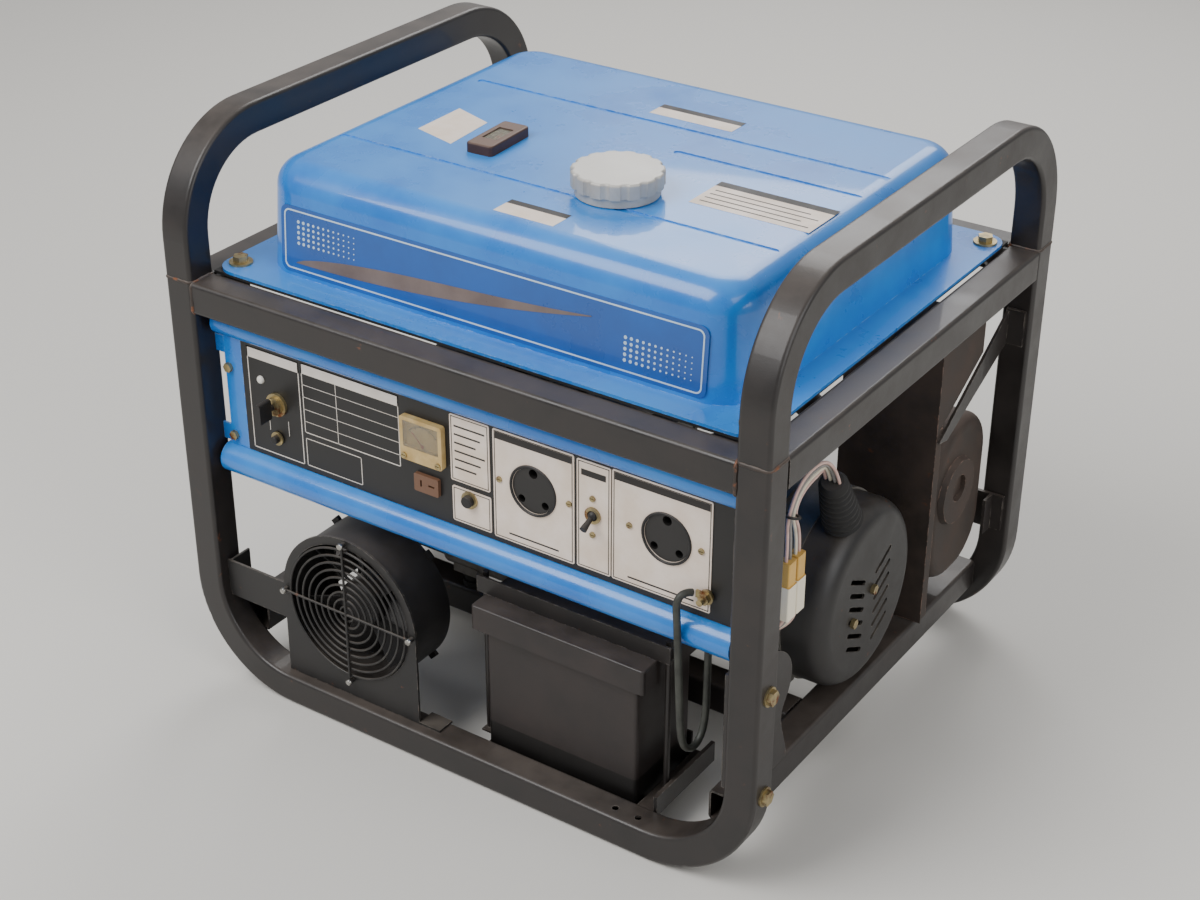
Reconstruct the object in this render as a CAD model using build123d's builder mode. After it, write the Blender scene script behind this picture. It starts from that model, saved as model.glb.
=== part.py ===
from build123d import *
import os
from math import cos, pi, radians, sin

# Open-frame petrol generator set, all sizes in millimetres.
# Origin: middle of the footprint, on the floor.  +X right, -Y front, +Z up.

# ---- Driving sizes -------------------------------------------------------------------
FRAME_W = 656.0          # outer width of the tube frame
FRAME_D = 548.0          # outer depth of the tube frame
FRAME_H = 593.0          # height over the carrying handles
TUBE = 32.0              # square frame tube
TUBE_WALL = 2.0
TUBE_CORNER = 4.0
TOP_RAIL_LOW = 414.0     # underside of the four rails that carry the tank
HOOP_BEND = 99.0         # centreline radius of the bottom corners
HANDLE_BEND = 92.0       # centreline radius of the handle corners
SIDE_RAIL_LOW = 50.0     # underside of the low side rails
SHAFT_Y = -18.0          # crankshaft axis
SHAFT_Z = 180.0
CYLINDER_LEAN = 35.0     # cylinder axis above level, leaning to the rear
CYLINDER_X = -25.0
MOUNT_SPREAD = 70.0      # engine mounts each side of the shaft
PANEL_Y = -250.0         # front of the black control panel
PANEL_LOW = 268.0
PANEL_HIGH = 388.0
TANK_FLANGE_LOW = 449.0
TANK_TOP = 556.0
FUEL_CAP_SPOT = (57.0, -86.0)
FAN_SPOT = (-137.0, 131.0)   # cooling fan centre, x and z
FAN_PLATE_Y = -262.0
GUARD_Y = 100.0          # front wall of the muffler guard
GUARD_TOP = 392.0
COVER_FACE = 300.0       # outer face of the alternator cover
BATTERY_FRONT = -238.0

# ---- Worked out from them ------------------------------------------------------------
POST_X = (FRAME_W - TUBE) / 2
POST_Y = (FRAME_D - TUBE) / 2
RAIL_Z = TUBE / 2
INNER_X = FRAME_W / 2 - TUBE
INNER_Y = FRAME_D / 2 - TUBE
TOP_RAIL_Z = TOP_RAIL_LOW + TUBE / 2
TOP_RAIL_HIGH = TOP_RAIL_LOW + TUBE
SIDE_RAIL_Z = SIDE_RAIL_LOW + TUBE / 2
SIDE_RAIL_HIGH = SIDE_RAIL_LOW + TUBE
MOUNT_Z = SIDE_RAIL_HIGH + 18.0
MOUNT_SPOTS = [(x, SHAFT_Y + side * MOUNT_SPREAD) for x in (-115.0, 238.0) for side in (-1, 1)]
PANEL_MID_Z = (PANEL_LOW + PANEL_HIGH) / 2
SHAFT_PLANE = Plane.YZ
CYLINDER_PLANE = Plane(
    origin=(CYLINDER_X, SHAFT_Y, SHAFT_Z),
    x_dir=(1, 0, 0),
    z_dir=(0, cos(radians(CYLINDER_LEAN)), sin(radians(CYLINDER_LEAN))),
)

os.makedirs("parts", exist_ok=True)


def save(builder, name):
    """Label a finished sub-part and write its STEP file."""
    builder.part.label = name
    export_step(builder.part, f"parts/{name}.step")


def save_group(pieces, name):
    """Write separate solids that share one body and one material as one file."""
    solids = []
    for piece in pieces:
        solids.extend(piece.part.solids())
    group = Compound(solids)
    group.label = name
    export_step(group, "parts/" + name + ".step")



def front_plane(y):
    """Upright plane at y: x to the right, z up, normal to the front."""
    return Plane.XZ.offset(-y)


def side_plane(x):
    """Upright plane at x: y across, z up, normal to the right."""
    return Plane.YZ.offset(x)


def level_plane(z):
    """Level plane at z, normal up."""
    return Plane.XY.offset(z)


def tube_section(plane, wall=TUBE_WALL):
    """Hollow square section of the frame tube."""
    with BuildSketch(plane) as section:
        RectangleRounded(TUBE, TUBE, TUBE_CORNER)
        RectangleRounded(TUBE - 2 * wall, TUBE - 2 * wall, TUBE_CORNER - wall, mode=Mode.SUBTRACT)
    return section.sketch


def round_section(line, radius):
    """Disc across the start of a route, for sweeping a wire, cable or hose."""
    with BuildSketch(Plane(origin=line @ 0, z_dir=line % 0)) as section:
        Circle(radius)
    return section.sketch


def hex_heads(plane, spots, across, height):
    """Hexagon heads with a washer under each, standing on a plane."""
    with BuildPart() as heads:
        with BuildSketch(plane):
            with Locations(*spots):
                Circle(across * 0.72)
        extrude(amount=height * 0.3)
        with BuildSketch(plane.offset(height * 0.3)):
            with Locations(*spots):
                RegularPolygon(across / 2, 6, major_radius=False)
        extrude(amount=height * 0.7)
    return heads.part


# ---- Frame ---------------------------------------------------------------------------
RAIL_HOLES = [(175.0, -260.0), (200.0, -260.0)]
RAIL_HOLE_R = 3.25
hoops = []
for name, y in (("front_hoop", -POST_Y), ("rear_hoop", POST_Y)):
    with BuildPart() as hoop:
        with BuildLine(front_plane(y)) as hoop_line:
            FilletPolyline((-POST_X, TOP_RAIL_HIGH), (-POST_X, RAIL_Z), (POST_X, RAIL_Z),
                           (POST_X, TOP_RAIL_HIGH), radius=HOOP_BEND)
        sweep(sections=tube_section(Plane(origin=hoop_line.line @ 0, z_dir=hoop_line.line % 0)))
        if name == "front_hoop":
            with BuildSketch(level_plane(TUBE)):
                with Locations(*RAIL_HOLES):
                    Circle(RAIL_HOLE_R)
            extrude(amount=-TUBE_WALL, mode=Mode.SUBTRACT)
    hoops.append(hoop)
save_group(hoops, "frame_hoops")

with BuildPart() as carry_handles:
    for x in (-POST_X, POST_X):
        with BuildLine(side_plane(x)) as handle_line:
            FilletPolyline((-POST_Y, TOP_RAIL_HIGH), (-POST_Y, FRAME_H - TUBE / 2),
                           (POST_Y, FRAME_H - TUBE / 2), (POST_Y, TOP_RAIL_HIGH), radius=HANDLE_BEND)
        sweep(sections=tube_section(Plane(origin=handle_line.line @ 0, z_dir=handle_line.line % 0)))
save(carry_handles, "carry_handles")


def straight_tube(plane, spot, length):
    """One straight length of the frame tube."""
    with BuildPart() as tube:
        with BuildSketch(plane):
            with Locations(spot):
                RectangleRounded(TUBE, TUBE, TUBE_CORNER)
                RectangleRounded(TUBE - 2 * TUBE_WALL, TUBE - 2 * TUBE_WALL, TUBE_CORNER - TUBE_WALL,
                                 mode=Mode.SUBTRACT)
        extrude(amount=length)
    return tube.part


WELD_GAP = 0.05
side_reach = INNER_Y - WELD_GAP
with BuildPart() as top_rails:
    for y in (-POST_Y, POST_Y):
        add(straight_tube(side_plane(-INNER_X), (y, TOP_RAIL_Z), 2 * INNER_X))
    for x in (-POST_X, POST_X):
        add(straight_tube(front_plane(side_reach), (x, TOP_RAIL_Z), 2 * side_reach))
save(top_rails, "top_rails")

SIDE_RAIL_X = INNER_X - TUBE / 2
ENGINE_RAIL_REACH = SIDE_RAIL_X - TUBE / 2 - WELD_GAP
with BuildPart() as base_rails:
    for x in (-SIDE_RAIL_X, SIDE_RAIL_X):
        add(straight_tube(front_plane(INNER_Y), (x, SIDE_RAIL_Z), 2 * INNER_Y))
    for side in (-1, 1):
        add(straight_tube(side_plane(-ENGINE_RAIL_REACH), (SHAFT_Y + side * MOUNT_SPREAD, SIDE_RAIL_Z),
                          2 * ENGINE_RAIL_REACH))
save(base_rails, "base_rails")

# Plates welded or bolted to the frame: tank tabs in the corners of the top rails, a wavy-edged
# plate inside the right front post, and the two muffler brackets on the right rear post.
TANK_BOLT_SPOTS = [(x, y) for x in (-280.0, 280.0) for y in (-221.0, 221.0)]
TAB_LONG = 46.0
TAB_TOP = TOP_RAIL_HIGH - 3.0
with BuildPart() as frame_plates:
    for sx in (-1, 1):
        for sy in (-1, 1):
            with BuildSketch(level_plane(TAB_TOP)):
                with BuildLine():
                    Polyline((sx * INNER_X, sy * INNER_Y), (sx * (INNER_X - TAB_LONG), sy * INNER_Y),
                             (sx * INNER_X, sy * (INNER_Y - TAB_LONG)), close=True)
                make_face()
            extrude(amount=-4.0)
    with BuildSketch(level_plane(TAB_TOP)):
        with Locations(*TANK_BOLT_SPOTS):
            Circle(4.2)
    extrude(amount=-4.0, mode=Mode.SUBTRACT)
    with BuildSketch(side_plane(INNER_X)):
        with BuildLine():
            Polyline((-160.0, SIDE_RAIL_HIGH), (-INNER_Y + 0.2, SIDE_RAIL_HIGH), (-INNER_Y + 0.2, 116.0),
                     (-270.0, 116.0), (-270.0, 236.0), (-244.0, 236.0), (-234.0, 214.0), (-190.0, 214.0))
            Spline((-190.0, 214.0), (-172.0, 204.0), (-158.0, 182.0), (-161.0, 158.0),
                   (-172.0, 140.0), (-168.0, 112.0), (-160.0, SIDE_RAIL_HIGH))
        make_face()
    extrude(amount=-4.0)
    with BuildSketch(side_plane(302.0)):
        with BuildLine():
            Polyline((GUARD_Y, 292.0), (GUARD_Y + 18.0, 288.0), (INNER_Y, 344.0), (INNER_Y, 380.0),
                     close=True)
        make_face()
    extrude(amount=3.0)
    with BuildSketch(front_plane(INNER_Y)):
        with Locations((312.0, 362.0)):
            Rectangle(20.0, 38.0)
    extrude(amount=3.0)
    with BuildSketch(front_plane(INNER_Y)):
        with Locations((306.0, 150.0)):
            Rectangle(30.0, 40.0)
    extrude(amount=4.0)
    with BuildSketch(side_plane(306.0)):
        with Locations((INNER_Y - 10.0, 150.0)):
            Rectangle(20.0, 40.0)
    extrude(amount=3.0)
save(frame_plates, "frame_plates")

POST_BOLTS_RIGHT = [(-257.0, 220.0), (-257.0, 113.0)]
POST_BOLT_LEFT = (-257.0, 116.0)
COVER_BOLTS = [(SHAFT_Y + 6.0, SHAFT_Z + 6.0), (SHAFT_Y - 32.0, SHAFT_Z - 12.0)]
with BuildPart() as frame_bolts:
    add(hex_heads(side_plane(FRAME_W / 2), POST_BOLTS_RIGHT, 13.0, 6.0))
    left_post = Plane(origin=(-FRAME_W / 2, 0, 0), x_dir=(0, -1, 0), z_dir=(-1, 0, 0))
    add(hex_heads(left_post, [(-POST_BOLT_LEFT[0], POST_BOLT_LEFT[1])], 13.0, 6.0))
    with BuildSketch(side_plane(COVER_FACE)):
        with Locations(*COVER_BOLTS):
            RegularPolygon(5.0, 6)
    extrude(amount=4.0)

with BuildPart() as rubber_mounts:
    with BuildSketch(level_plane(SIDE_RAIL_HIGH)):
        with Locations(*MOUNT_SPOTS):
            Circle(13.0)
    extrude(amount=MOUNT_Z - SIDE_RAIL_HIGH)
    with BuildSketch(level_plane(SIDE_RAIL_HIGH + 6.0)):
        with Locations(*MOUNT_SPOTS):
            Circle(13.5)
            Circle(11.0, mode=Mode.SUBTRACT)
    extrude(amount=6.0, mode=Mode.SUBTRACT)
    with BuildSketch(level_plane(TAB_TOP)):
        with Locations(*TANK_BOLT_SPOTS):
            Circle(11.0)
            Circle(4.6, mode=Mode.SUBTRACT)
    extrude(amount=TANK_FLANGE_LOW - TAB_TOP)
save(rubber_mounts, "rubber_mounts")

# ---- Engine --------------------------------------------------------------------------
CASE_LEFT = -140.0
CASE_RIGHT = 30.0
CASE_WALL = 8.0
CASE_HALF = 90.0
CASE_TOP = 262.0
BARREL_START = 84.0      # distances from the shaft along the cylinder axis
BARREL_END = 165.0
HEAD_END = 203.0
ROCKER_END = 240.0
BORE_R = 44.0
BEARING_R = 31.0
BEARING_WIDE = 16.0
SHAFT_R = 15.0
RUN_GAP = 0.05           # running clearance of a shaft in its bearing
FOOT_SIZE = (30.0, 34.0)

case_mid_z = (MOUNT_Z + CASE_TOP) / 2
DIP_SPOT = Vector(-30.0, SHAFT_Y - CASE_HALF, 132.0)
DIP_TILT = 50.0
dip_dir = Vector(0, -sin(radians(DIP_TILT)), cos(radians(DIP_TILT)))
dip_plane = Plane(origin=DIP_SPOT, x_dir=(1, 0, 0), z_dir=dip_dir)
with BuildPart() as crankcase:
    with BuildSketch(side_plane(CASE_LEFT)):
        with Locations((SHAFT_Y, case_mid_z)):
            RectangleRounded(2 * CASE_HALF, CASE_TOP - MOUNT_Z, 22.0)
    extrude(amount=CASE_RIGHT - CASE_LEFT)
    with BuildSketch(CYLINDER_PLANE.offset(40.0)):
        Circle(BORE_R + 8.0)
    extrude(amount=BARREL_END - 40.0)
    for fin in range(7):
        with BuildSketch(CYLINDER_PLANE.offset(BARREL_START + 18.0 + fin * 8.5)):
            RectangleRounded(106.0, 126.0, 26.0)
        extrude(amount=3.0)
    with BuildSketch(level_plane(MOUNT_Z)):
        for side in (-1, 1):
            with Locations((-115.0, SHAFT_Y + side * MOUNT_SPREAD)):
                Rectangle(*FOOT_SIZE)
            with Locations((10.0, SHAFT_Y + side * MOUNT_SPREAD)):
                Rectangle(*FOOT_SIZE)
    extrude(amount=10.0)
    with BuildSketch(side_plane(CASE_LEFT + CASE_WALL)):
        with Locations((SHAFT_Y, case_mid_z)):
            RectangleRounded(2 * (CASE_HALF - CASE_WALL), CASE_TOP - MOUNT_Z - 2 * CASE_WALL, 16.0)
    extrude(amount=CASE_RIGHT - CASE_LEFT, mode=Mode.SUBTRACT)
    with BuildSketch(CYLINDER_PLANE.offset(30.0)):
        Circle(BORE_R)
    extrude(amount=BARREL_END - 30.0, mode=Mode.SUBTRACT)
    with BuildSketch(side_plane(CASE_LEFT - 1)):
        with Locations((SHAFT_Y, SHAFT_Z)):
            Circle(BEARING_R)
    extrude(amount=CASE_WALL + 2, mode=Mode.SUBTRACT)
    # oil filler boss, low on the front wall
    with BuildSketch(dip_plane.offset(-7.0)):
        Circle(12.0)
    extrude(amount=26.0)
    with BuildSketch(dip_plane.offset(-24.0)):
        Circle(8.0)
    extrude(amount=50.0, mode=Mode.SUBTRACT)

COVER_END = CASE_RIGHT + 16.0
with BuildPart() as crankcase_cover:
    with BuildSketch(side_plane(CASE_RIGHT)):
        with Locations((SHAFT_Y, case_mid_z)):
            RectangleRounded(2 * CASE_HALF, CASE_TOP - MOUNT_Z, 22.0)
    extrude(amount=COVER_END - CASE_RIGHT)
    with BuildSketch(side_plane(CASE_RIGHT)):
        with Locations((SHAFT_Y, SHAFT_Z)):
            Circle(BEARING_R)
    extrude(amount=COVER_END - CASE_RIGHT, mode=Mode.SUBTRACT)

BEARING_SPOTS = [CASE_LEFT, COVER_END - BEARING_WIDE, 226.0]
save_group([crankcase, crankcase_cover], "crankcase")

with BuildPart() as bearings:
    for x in BEARING_SPOTS:
        width = CASE_WALL if x == CASE_LEFT else BEARING_WIDE
        with BuildSketch(side_plane(x)):
            with Locations((SHAFT_Y, SHAFT_Z)):
                Circle(BEARING_R)
                Circle(SHAFT_R + RUN_GAP, mode=Mode.SUBTRACT)
        extrude(amount=width)
save(bearings, "bearings")

with BuildPart() as cylinder_head:
    with BuildSketch(CYLINDER_PLANE.offset(BARREL_END)):
        RectangleRounded(130.0, 124.0, 26.0)
    extrude(amount=10.0)
    for fin in range(3):
        with BuildSketch(CYLINDER_PLANE.offset(BARREL_END + 10.0 + fin * 8.0)):
            RectangleRounded(104.0, 100.0, 20.0)
        extrude(amount=5.0)
        with BuildSketch(CYLINDER_PLANE.offset(BARREL_END + 15.0 + fin * 8.0)):
            RectangleRounded(130.0, 124.0, 26.0)
        extrude(amount=3.0)
    with BuildSketch(CYLINDER_PLANE.offset(BARREL_END + 34.0)):
        RectangleRounded(116.0, 112.0, 22.0)
    extrude(amount=HEAD_END - BARREL_END - 34.0)
    # exhaust port to the right, intake port to the left
    with BuildSketch(Plane(origin=CYLINDER_PLANE.from_local_coords((50.0, 0, BARREL_END + 20.0)),
                           x_dir=CYLINDER_PLANE.y_dir, z_dir=(1, 0, 0))):
        RectangleRounded(56.0, 30.0, 8.0)
    extrude(amount=22.0)
    with BuildSketch(Plane(origin=CYLINDER_PLANE.from_local_coords((-50.0, 0, BARREL_END + 20.0)),
                           x_dir=CYLINDER_PLANE.y_dir, z_dir=(-1, 0, 0))):
        RectangleRounded(56.0, 30.0, 8.0)
    extrude(amount=22.0)

with BuildPart() as rocker_cover:
    with BuildSketch(CYLINDER_PLANE.offset(HEAD_END)):
        RectangleRounded(110.0, 96.0, 18.0)
    extrude(amount=ROCKER_END - HEAD_END)
    fillet(rocker_cover.edges().group_by(Axis((0, 0, 0), CYLINDER_PLANE.z_dir))[-1], 10.0)
    offset(amount=-2.5, openings=rocker_cover.faces().sort_by(Axis((0, 0, 0), CYLINDER_PLANE.z_dir))[0])

PISTON_LOW = 112.0
PISTON_HIGH = 163.0
save_group([cylinder_head, rocker_cover], "cylinder_head")

with BuildPart() as piston:
    with BuildSketch(CYLINDER_PLANE.offset(PISTON_LOW)):
        Circle(BORE_R - 0.06)
    extrude(amount=PISTON_HIGH - PISTON_LOW)
    with BuildSketch(CYLINDER_PLANE.offset(PISTON_LOW)):
        Circle(BORE_R - 6.0)
    extrude(amount=PISTON_HIGH - PISTON_LOW - 10.0, mode=Mode.SUBTRACT)
    for ring in range(3):
        with BuildSketch(CYLINDER_PLANE.offset(PISTON_HIGH - 8.0 - ring * 6.0)):
            Circle(BORE_R)
            Circle(BORE_R - 2.0, mode=Mode.SUBTRACT)
        extrude(amount=2.0, mode=Mode.SUBTRACT)
save(piston, "piston")

# Crankshaft in one with the generator shaft: main journals, webs, crank pin, timing gear.
WEB_R = 50.0
PIN_OFFSET = 32.0
SHAFT_LEFT = -228.0
SHAFT_RIGHT = 246.0
with BuildPart() as crankshaft:
    for start, end in ((SHAFT_LEFT, CYLINDER_X - 24.0), (CYLINDER_X + 24.0, SHAFT_RIGHT)):
        with BuildSketch(side_plane(start)):
            with Locations((SHAFT_Y, SHAFT_Z)):
                Circle(SHAFT_R)
        extrude(amount=end - start)
    for web_x in (CYLINDER_X - 30.0, CYLINDER_X + 16.0):
        with BuildSketch(side_plane(web_x)):
            with Locations((SHAFT_Y, SHAFT_Z)):
                Circle(WEB_R)
            with Locations((SHAFT_Y + 48.0, SHAFT_Z + 28.0), (SHAFT_Y - 48.0, SHAFT_Z + 28.0)):
                Circle(20.0, mode=Mode.SUBTRACT)
        extrude(amount=14.0)
    with BuildSketch(side_plane(CYLINDER_X - 16.0)):
        with Locations((SHAFT_Y, SHAFT_Z + PIN_OFFSET)):
            Circle(14.0)
    extrude(amount=32.0)
save(crankshaft, "crankshaft")

FLYWHEEL_R = 86.0
with BuildPart() as flywheel:
    with BuildSketch(side_plane(-196.0)):
        with Locations((SHAFT_Y, SHAFT_Z)):
            Circle(FLYWHEEL_R)
    extrude(amount=34.0)
    with BuildSketch(side_plane(-186.0)):
        with Locations((SHAFT_Y, SHAFT_Z)):
            Circle(FLYWHEEL_R - 14.0)
            Circle(30.0, mode=Mode.SUBTRACT)
    extrude(amount=24.0, mode=Mode.SUBTRACT)
    blade_count = 16
    for blade in range(blade_count):
        angle = 360.0 / blade_count * blade
        with BuildSketch(side_plane(-216.0)):
            with Locations((SHAFT_Y, SHAFT_Z)):
                with PolarLocations(66.0, 1, start_angle=angle):
                    SlotOverall(36.0, 3.0)
        extrude(amount=20.0)
    with BuildSketch(side_plane(-220.0)):
        with Locations((SHAFT_Y, SHAFT_Z)):
            Circle(40.0)
            Circle(36.0, mode=Mode.SUBTRACT)
    extrude(amount=24.0)
    with BuildSketch(side_plane(-200.0)):
        with Locations((SHAFT_Y, SHAFT_Z)):
            Circle(SHAFT_R)
    extrude(amount=40.0, mode=Mode.SUBTRACT)
save(flywheel, "flywheel")

BLOWER_R = 105.0
BLOWER_LEFT = -234.0
BLOWER_RIGHT = CASE_LEFT
with BuildPart() as blower_housing:
    with BuildSketch(side_plane(BLOWER_LEFT)):
        with Locations((SHAFT_Y, SHAFT_Z)):
            Circle(BLOWER_R)
        with Locations(Location((SHAFT_Y + 46.0, SHAFT_Z + 32.0), CYLINDER_LEAN)):
            Rectangle(112.0, 150.0)
    extrude(amount=BLOWER_RIGHT - BLOWER_LEFT)
    fillet(blower_housing.edges().group_by(Axis.X)[0], 8.0)
    offset(amount=-2.0, openings=blower_housing.faces().sort_by(Axis.X)[-1])
    with BuildSketch(side_plane(BLOWER_LEFT)):
        with Locations((SHAFT_Y, SHAFT_Z)):
            Circle(64.0)
    extrude(amount=2.5, mode=Mode.SUBTRACT)

RECOIL_R = 86.0
RECOIL_LEFT = -288.0
ROPE_R = 30.0             # radius at which the starter rope leaves its pulley
ROPE_Z = SHAFT_Z + ROPE_R
ROPE_X = -262.0
with BuildPart() as recoil_cover:
    with BuildSketch(side_plane(BLOWER_LEFT)):
        with Locations((SHAFT_Y, SHAFT_Z)):
            Circle(RECOIL_R)
    extrude(amount=RECOIL_LEFT - BLOWER_LEFT, taper=12)
    fillet(recoil_cover.edges().group_by(Axis.X)[0], 10.0)
    offset(amount=-2.0, openings=recoil_cover.faces().sort_by(Axis.X)[-1])
    with BuildSketch(side_plane(RECOIL_LEFT)):
        with Locations((SHAFT_Y, SHAFT_Z)):
            with PolarLocations(48.0, 10):
                SlotOverall(26.0, 8.0)
    extrude(amount=6.0, mode=Mode.SUBTRACT)
    with BuildSketch(side_plane(RECOIL_LEFT + 1.0)):
        with Locations((SHAFT_Y, SHAFT_Z)):
            Circle(8.0)
    extrude(amount=36.0)
    # rope outlet towards the front
    with BuildSketch(front_plane(SHAFT_Y - 40.0)):
        with Locations((ROPE_X, ROPE_Z)):
            Circle(6.0)
    extrude(amount=44.0, mode=Mode.SUBTRACT)

save_group([blower_housing, recoil_cover], "blower_housing")

with BuildPart() as recoil_pulley:
    with BuildSketch(side_plane(-270.0)):
        with Locations((SHAFT_Y, SHAFT_Z)):
            Circle(52.0)
            Circle(8.1, mode=Mode.SUBTRACT)
    extrude(amount=3.0)
    with BuildSketch(side_plane(-267.0)):
        with Locations((SHAFT_Y, SHAFT_Z)):
            Circle(ROPE_R - 2.5)
            Circle(8.1, mode=Mode.SUBTRACT)
    extrude(amount=10.0)
    with BuildSketch(side_plane(-257.0)):
        with Locations((SHAFT_Y, SHAFT_Z)):
            Circle(52.0)
            Circle(8.1, mode=Mode.SUBTRACT)
    extrude(amount=3.0)
save(recoil_pulley, "recoil_pulley")

RECOIL_HANDLE_Y = -118.0
with BuildPart() as recoil_handle:
    with BuildSketch(front_plane(RECOIL_HANDLE_Y)):
        with Locations((ROPE_X, ROPE_Z)):
            RectangleRounded(20.0, 44.0, 9.0)
    extrude(amount=18.0)
    fillet(recoil_handle.edges().group_by(Axis.Y)[0], 5.0)
    with BuildSketch(front_plane(RECOIL_HANDLE_Y)):
        with Locations((ROPE_X, ROPE_Z)):
            Circle(7.0)
    extrude(amount=-8.0)
    with BuildSketch(front_plane(RECOIL_HANDLE_Y + 8.0)):
        with Locations((ROPE_X, ROPE_Z)):
            Circle(2.5)
    extrude(amount=-34.0)
save(recoil_handle, "recoil_handle")

STARTER_SPOT = (-128.0, 284.0)
with BuildPart() as starter_motor:
    with BuildSketch(side_plane(-134.0)):
        with Locations(STARTER_SPOT):
            Circle(30.0)
    extrude(amount=118.0)
    fillet(starter_motor.edges().group_by(Axis.X)[-1], 6.0)
    with BuildSketch(side_plane(-140.0)):
        with Locations(STARTER_SPOT):
            Circle(36.0)
    extrude(amount=6.0)
save(starter_motor, "starter_motor")

PORT_Y = SHAFT_Y + cos(radians(CYLINDER_LEAN)) * (BARREL_END + 20.0)
PORT_Z = SHAFT_Z + sin(radians(CYLINDER_LEAN)) * (BARREL_END + 20.0)
PORT_LEFT = CYLINDER_X - 72.0
PORT_RIGHT = CYLINDER_X + 72.0
CARB_LEFT = -146.0
with BuildPart() as carburettor:
    with BuildSketch(side_plane(CARB_LEFT)):
        with Locations((PORT_Y, PORT_Z)):
            RectangleRounded(44.0, 40.0, 8.0)
            Circle(11.0, mode=Mode.SUBTRACT)
    extrude(amount=PORT_LEFT - CARB_LEFT)
    with BuildSketch(level_plane(PORT_Z - 20.0)):
        with Locations(((CARB_LEFT + PORT_LEFT) / 2, PORT_Y)):
            Circle(18.0)
    extrude(amount=-22.0)
save(carburettor, "carburettor")

CHOKE_PIVOT = (CARB_LEFT + 12.0, PORT_Y + 10.0, PORT_Z + 20.4)
with BuildPart() as choke_lever:
    with BuildSketch(level_plane(CHOKE_PIVOT[2])):
        with Locations((CHOKE_PIVOT[0], CHOKE_PIVOT[1])):
            Circle(6.0)
        with Locations((CHOKE_PIVOT[0], CHOKE_PIVOT[1] + 22.0)):
            RectangleRounded(8.0, 44.0, 3.0)
    extrude(amount=2.5)
save(choke_lever, "choke_lever")

AIR_CLEANER_LEFT = -286.0
AIR_LOW = 258.0
AIR_HIGH = 378.0
with BuildPart() as air_cleaner_cover:
    with BuildSketch(side_plane(CARB_LEFT - 14.0)):
        with Locations((170.0, (AIR_LOW + AIR_HIGH) / 2)):
            RectangleRounded(124.0, AIR_HIGH - AIR_LOW, 16.0)
    extrude(amount=AIR_CLEANER_LEFT - CARB_LEFT + 14.0)
    fillet(air_cleaner_cover.edges().group_by(Axis.X)[0], 12.0)
    offset(amount=-2.5, openings=air_cleaner_cover.faces().sort_by(Axis.X)[-1])

with BuildPart() as air_filter:
    with BuildSketch(side_plane(CARB_LEFT - 14.0)):
        with Locations((170.0, (AIR_LOW + AIR_HIGH) / 2)):
            RectangleRounded(124.0, AIR_HIGH - AIR_LOW, 16.0)
        with Locations((PORT_Y, PORT_Z)):
            Circle(11.0, mode=Mode.SUBTRACT)
    extrude(amount=14.0)
    with BuildSketch(side_plane(CARB_LEFT - 14.0)):
        with Locations((170.0, (AIR_LOW + AIR_HIGH) / 2)):
            RectangleRounded(96.0, AIR_HIGH - AIR_LOW - 28.0, 12.0)
            RectangleRounded(60.0, AIR_HIGH - AIR_LOW - 64.0, 8.0, mode=Mode.SUBTRACT)
    extrude(amount=-70.0)

save_group([air_filter, air_cleaner_cover], "air_cleaner")

with BuildPart() as spark_plug:
    spark_plane = Plane(origin=CYLINDER_PLANE.from_local_coords((0, 62.05, BARREL_END + 20.0)),
                        x_dir=(1, 0, 0), z_dir=CYLINDER_PLANE.y_dir)
    with BuildSketch(spark_plane):
        RegularPolygon(9.0, 6)
    extrude(amount=10.0)
    with BuildSketch(spark_plane.offset(10.0)):
        Circle(7.0)
    extrude(amount=30.0)
save(spark_plug, "spark_plug")

# ---- Exhaust -------------------------------------------------------------------------
MUFFLER_RIGHT = 300.0
MUFFLER_LEFT = 200.0
MUFFLER_Y = 171.0
MUFFLER_Z = 196.0
with BuildPart() as muffler:
    with BuildSketch(side_plane(MUFFLER_LEFT)):
        with Locations((MUFFLER_Y, MUFFLER_Z)):
            RectangleRounded(118.0, 176.0, 52.0)
    extrude(amount=MUFFLER_RIGHT - MUFFLER_LEFT)
    fillet(muffler.edges().group_by(Axis.X)[-1], 12.0)
    fillet(muffler.edges().group_by(Axis.X)[0], 12.0)
    with BuildSketch(side_plane((MUFFLER_LEFT + MUFFLER_RIGHT) / 2 - 1.5)):
        with Locations((MUFFLER_Y, MUFFLER_Z)):
            RectangleRounded(130.0, 188.0, 58.0)
    extrude(amount=3.0)
    # pressed round boss on the outer face, with a dimple and two holes in it
    with BuildSketch(side_plane(MUFFLER_RIGHT)):
        with Locations((MUFFLER_Y - 14.0, MUFFLER_Z + 16.0)):
            Circle(36.0)
    extrude(amount=6.0, taper=20)
    with BuildSketch(side_plane(MUFFLER_RIGHT + 6.0)):
        with Locations((MUFFLER_Y - 14.0, MUFFLER_Z + 20.0)):
            Circle(14.0)
    extrude(amount=-5.0, mode=Mode.SUBTRACT)

with BuildPart() as exhaust_pipe:
    with BuildLine() as exhaust_line:
        FilletPolyline((PORT_RIGHT, PORT_Y, PORT_Z), (120.0, PORT_Y, PORT_Z),
                       (150.0, MUFFLER_Y, 236.0), (MUFFLER_LEFT, MUFFLER_Y, 236.0), radius=28.0)
    with BuildSketch(Plane(origin=exhaust_line.line @ 0, z_dir=exhaust_line.line % 0)):
        Circle(15.0)
        Circle(13.0, mode=Mode.SUBTRACT)
    sweep()
    with BuildSketch(side_plane(PORT_RIGHT)):
        with Locations((PORT_Y, PORT_Z)):
            RectangleRounded(56.0, 34.0, 8.0)
            Circle(13.0, mode=Mode.SUBTRACT)
    extrude(amount=6.0)

save_group([muffler, exhaust_pipe], "muffler")

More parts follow.
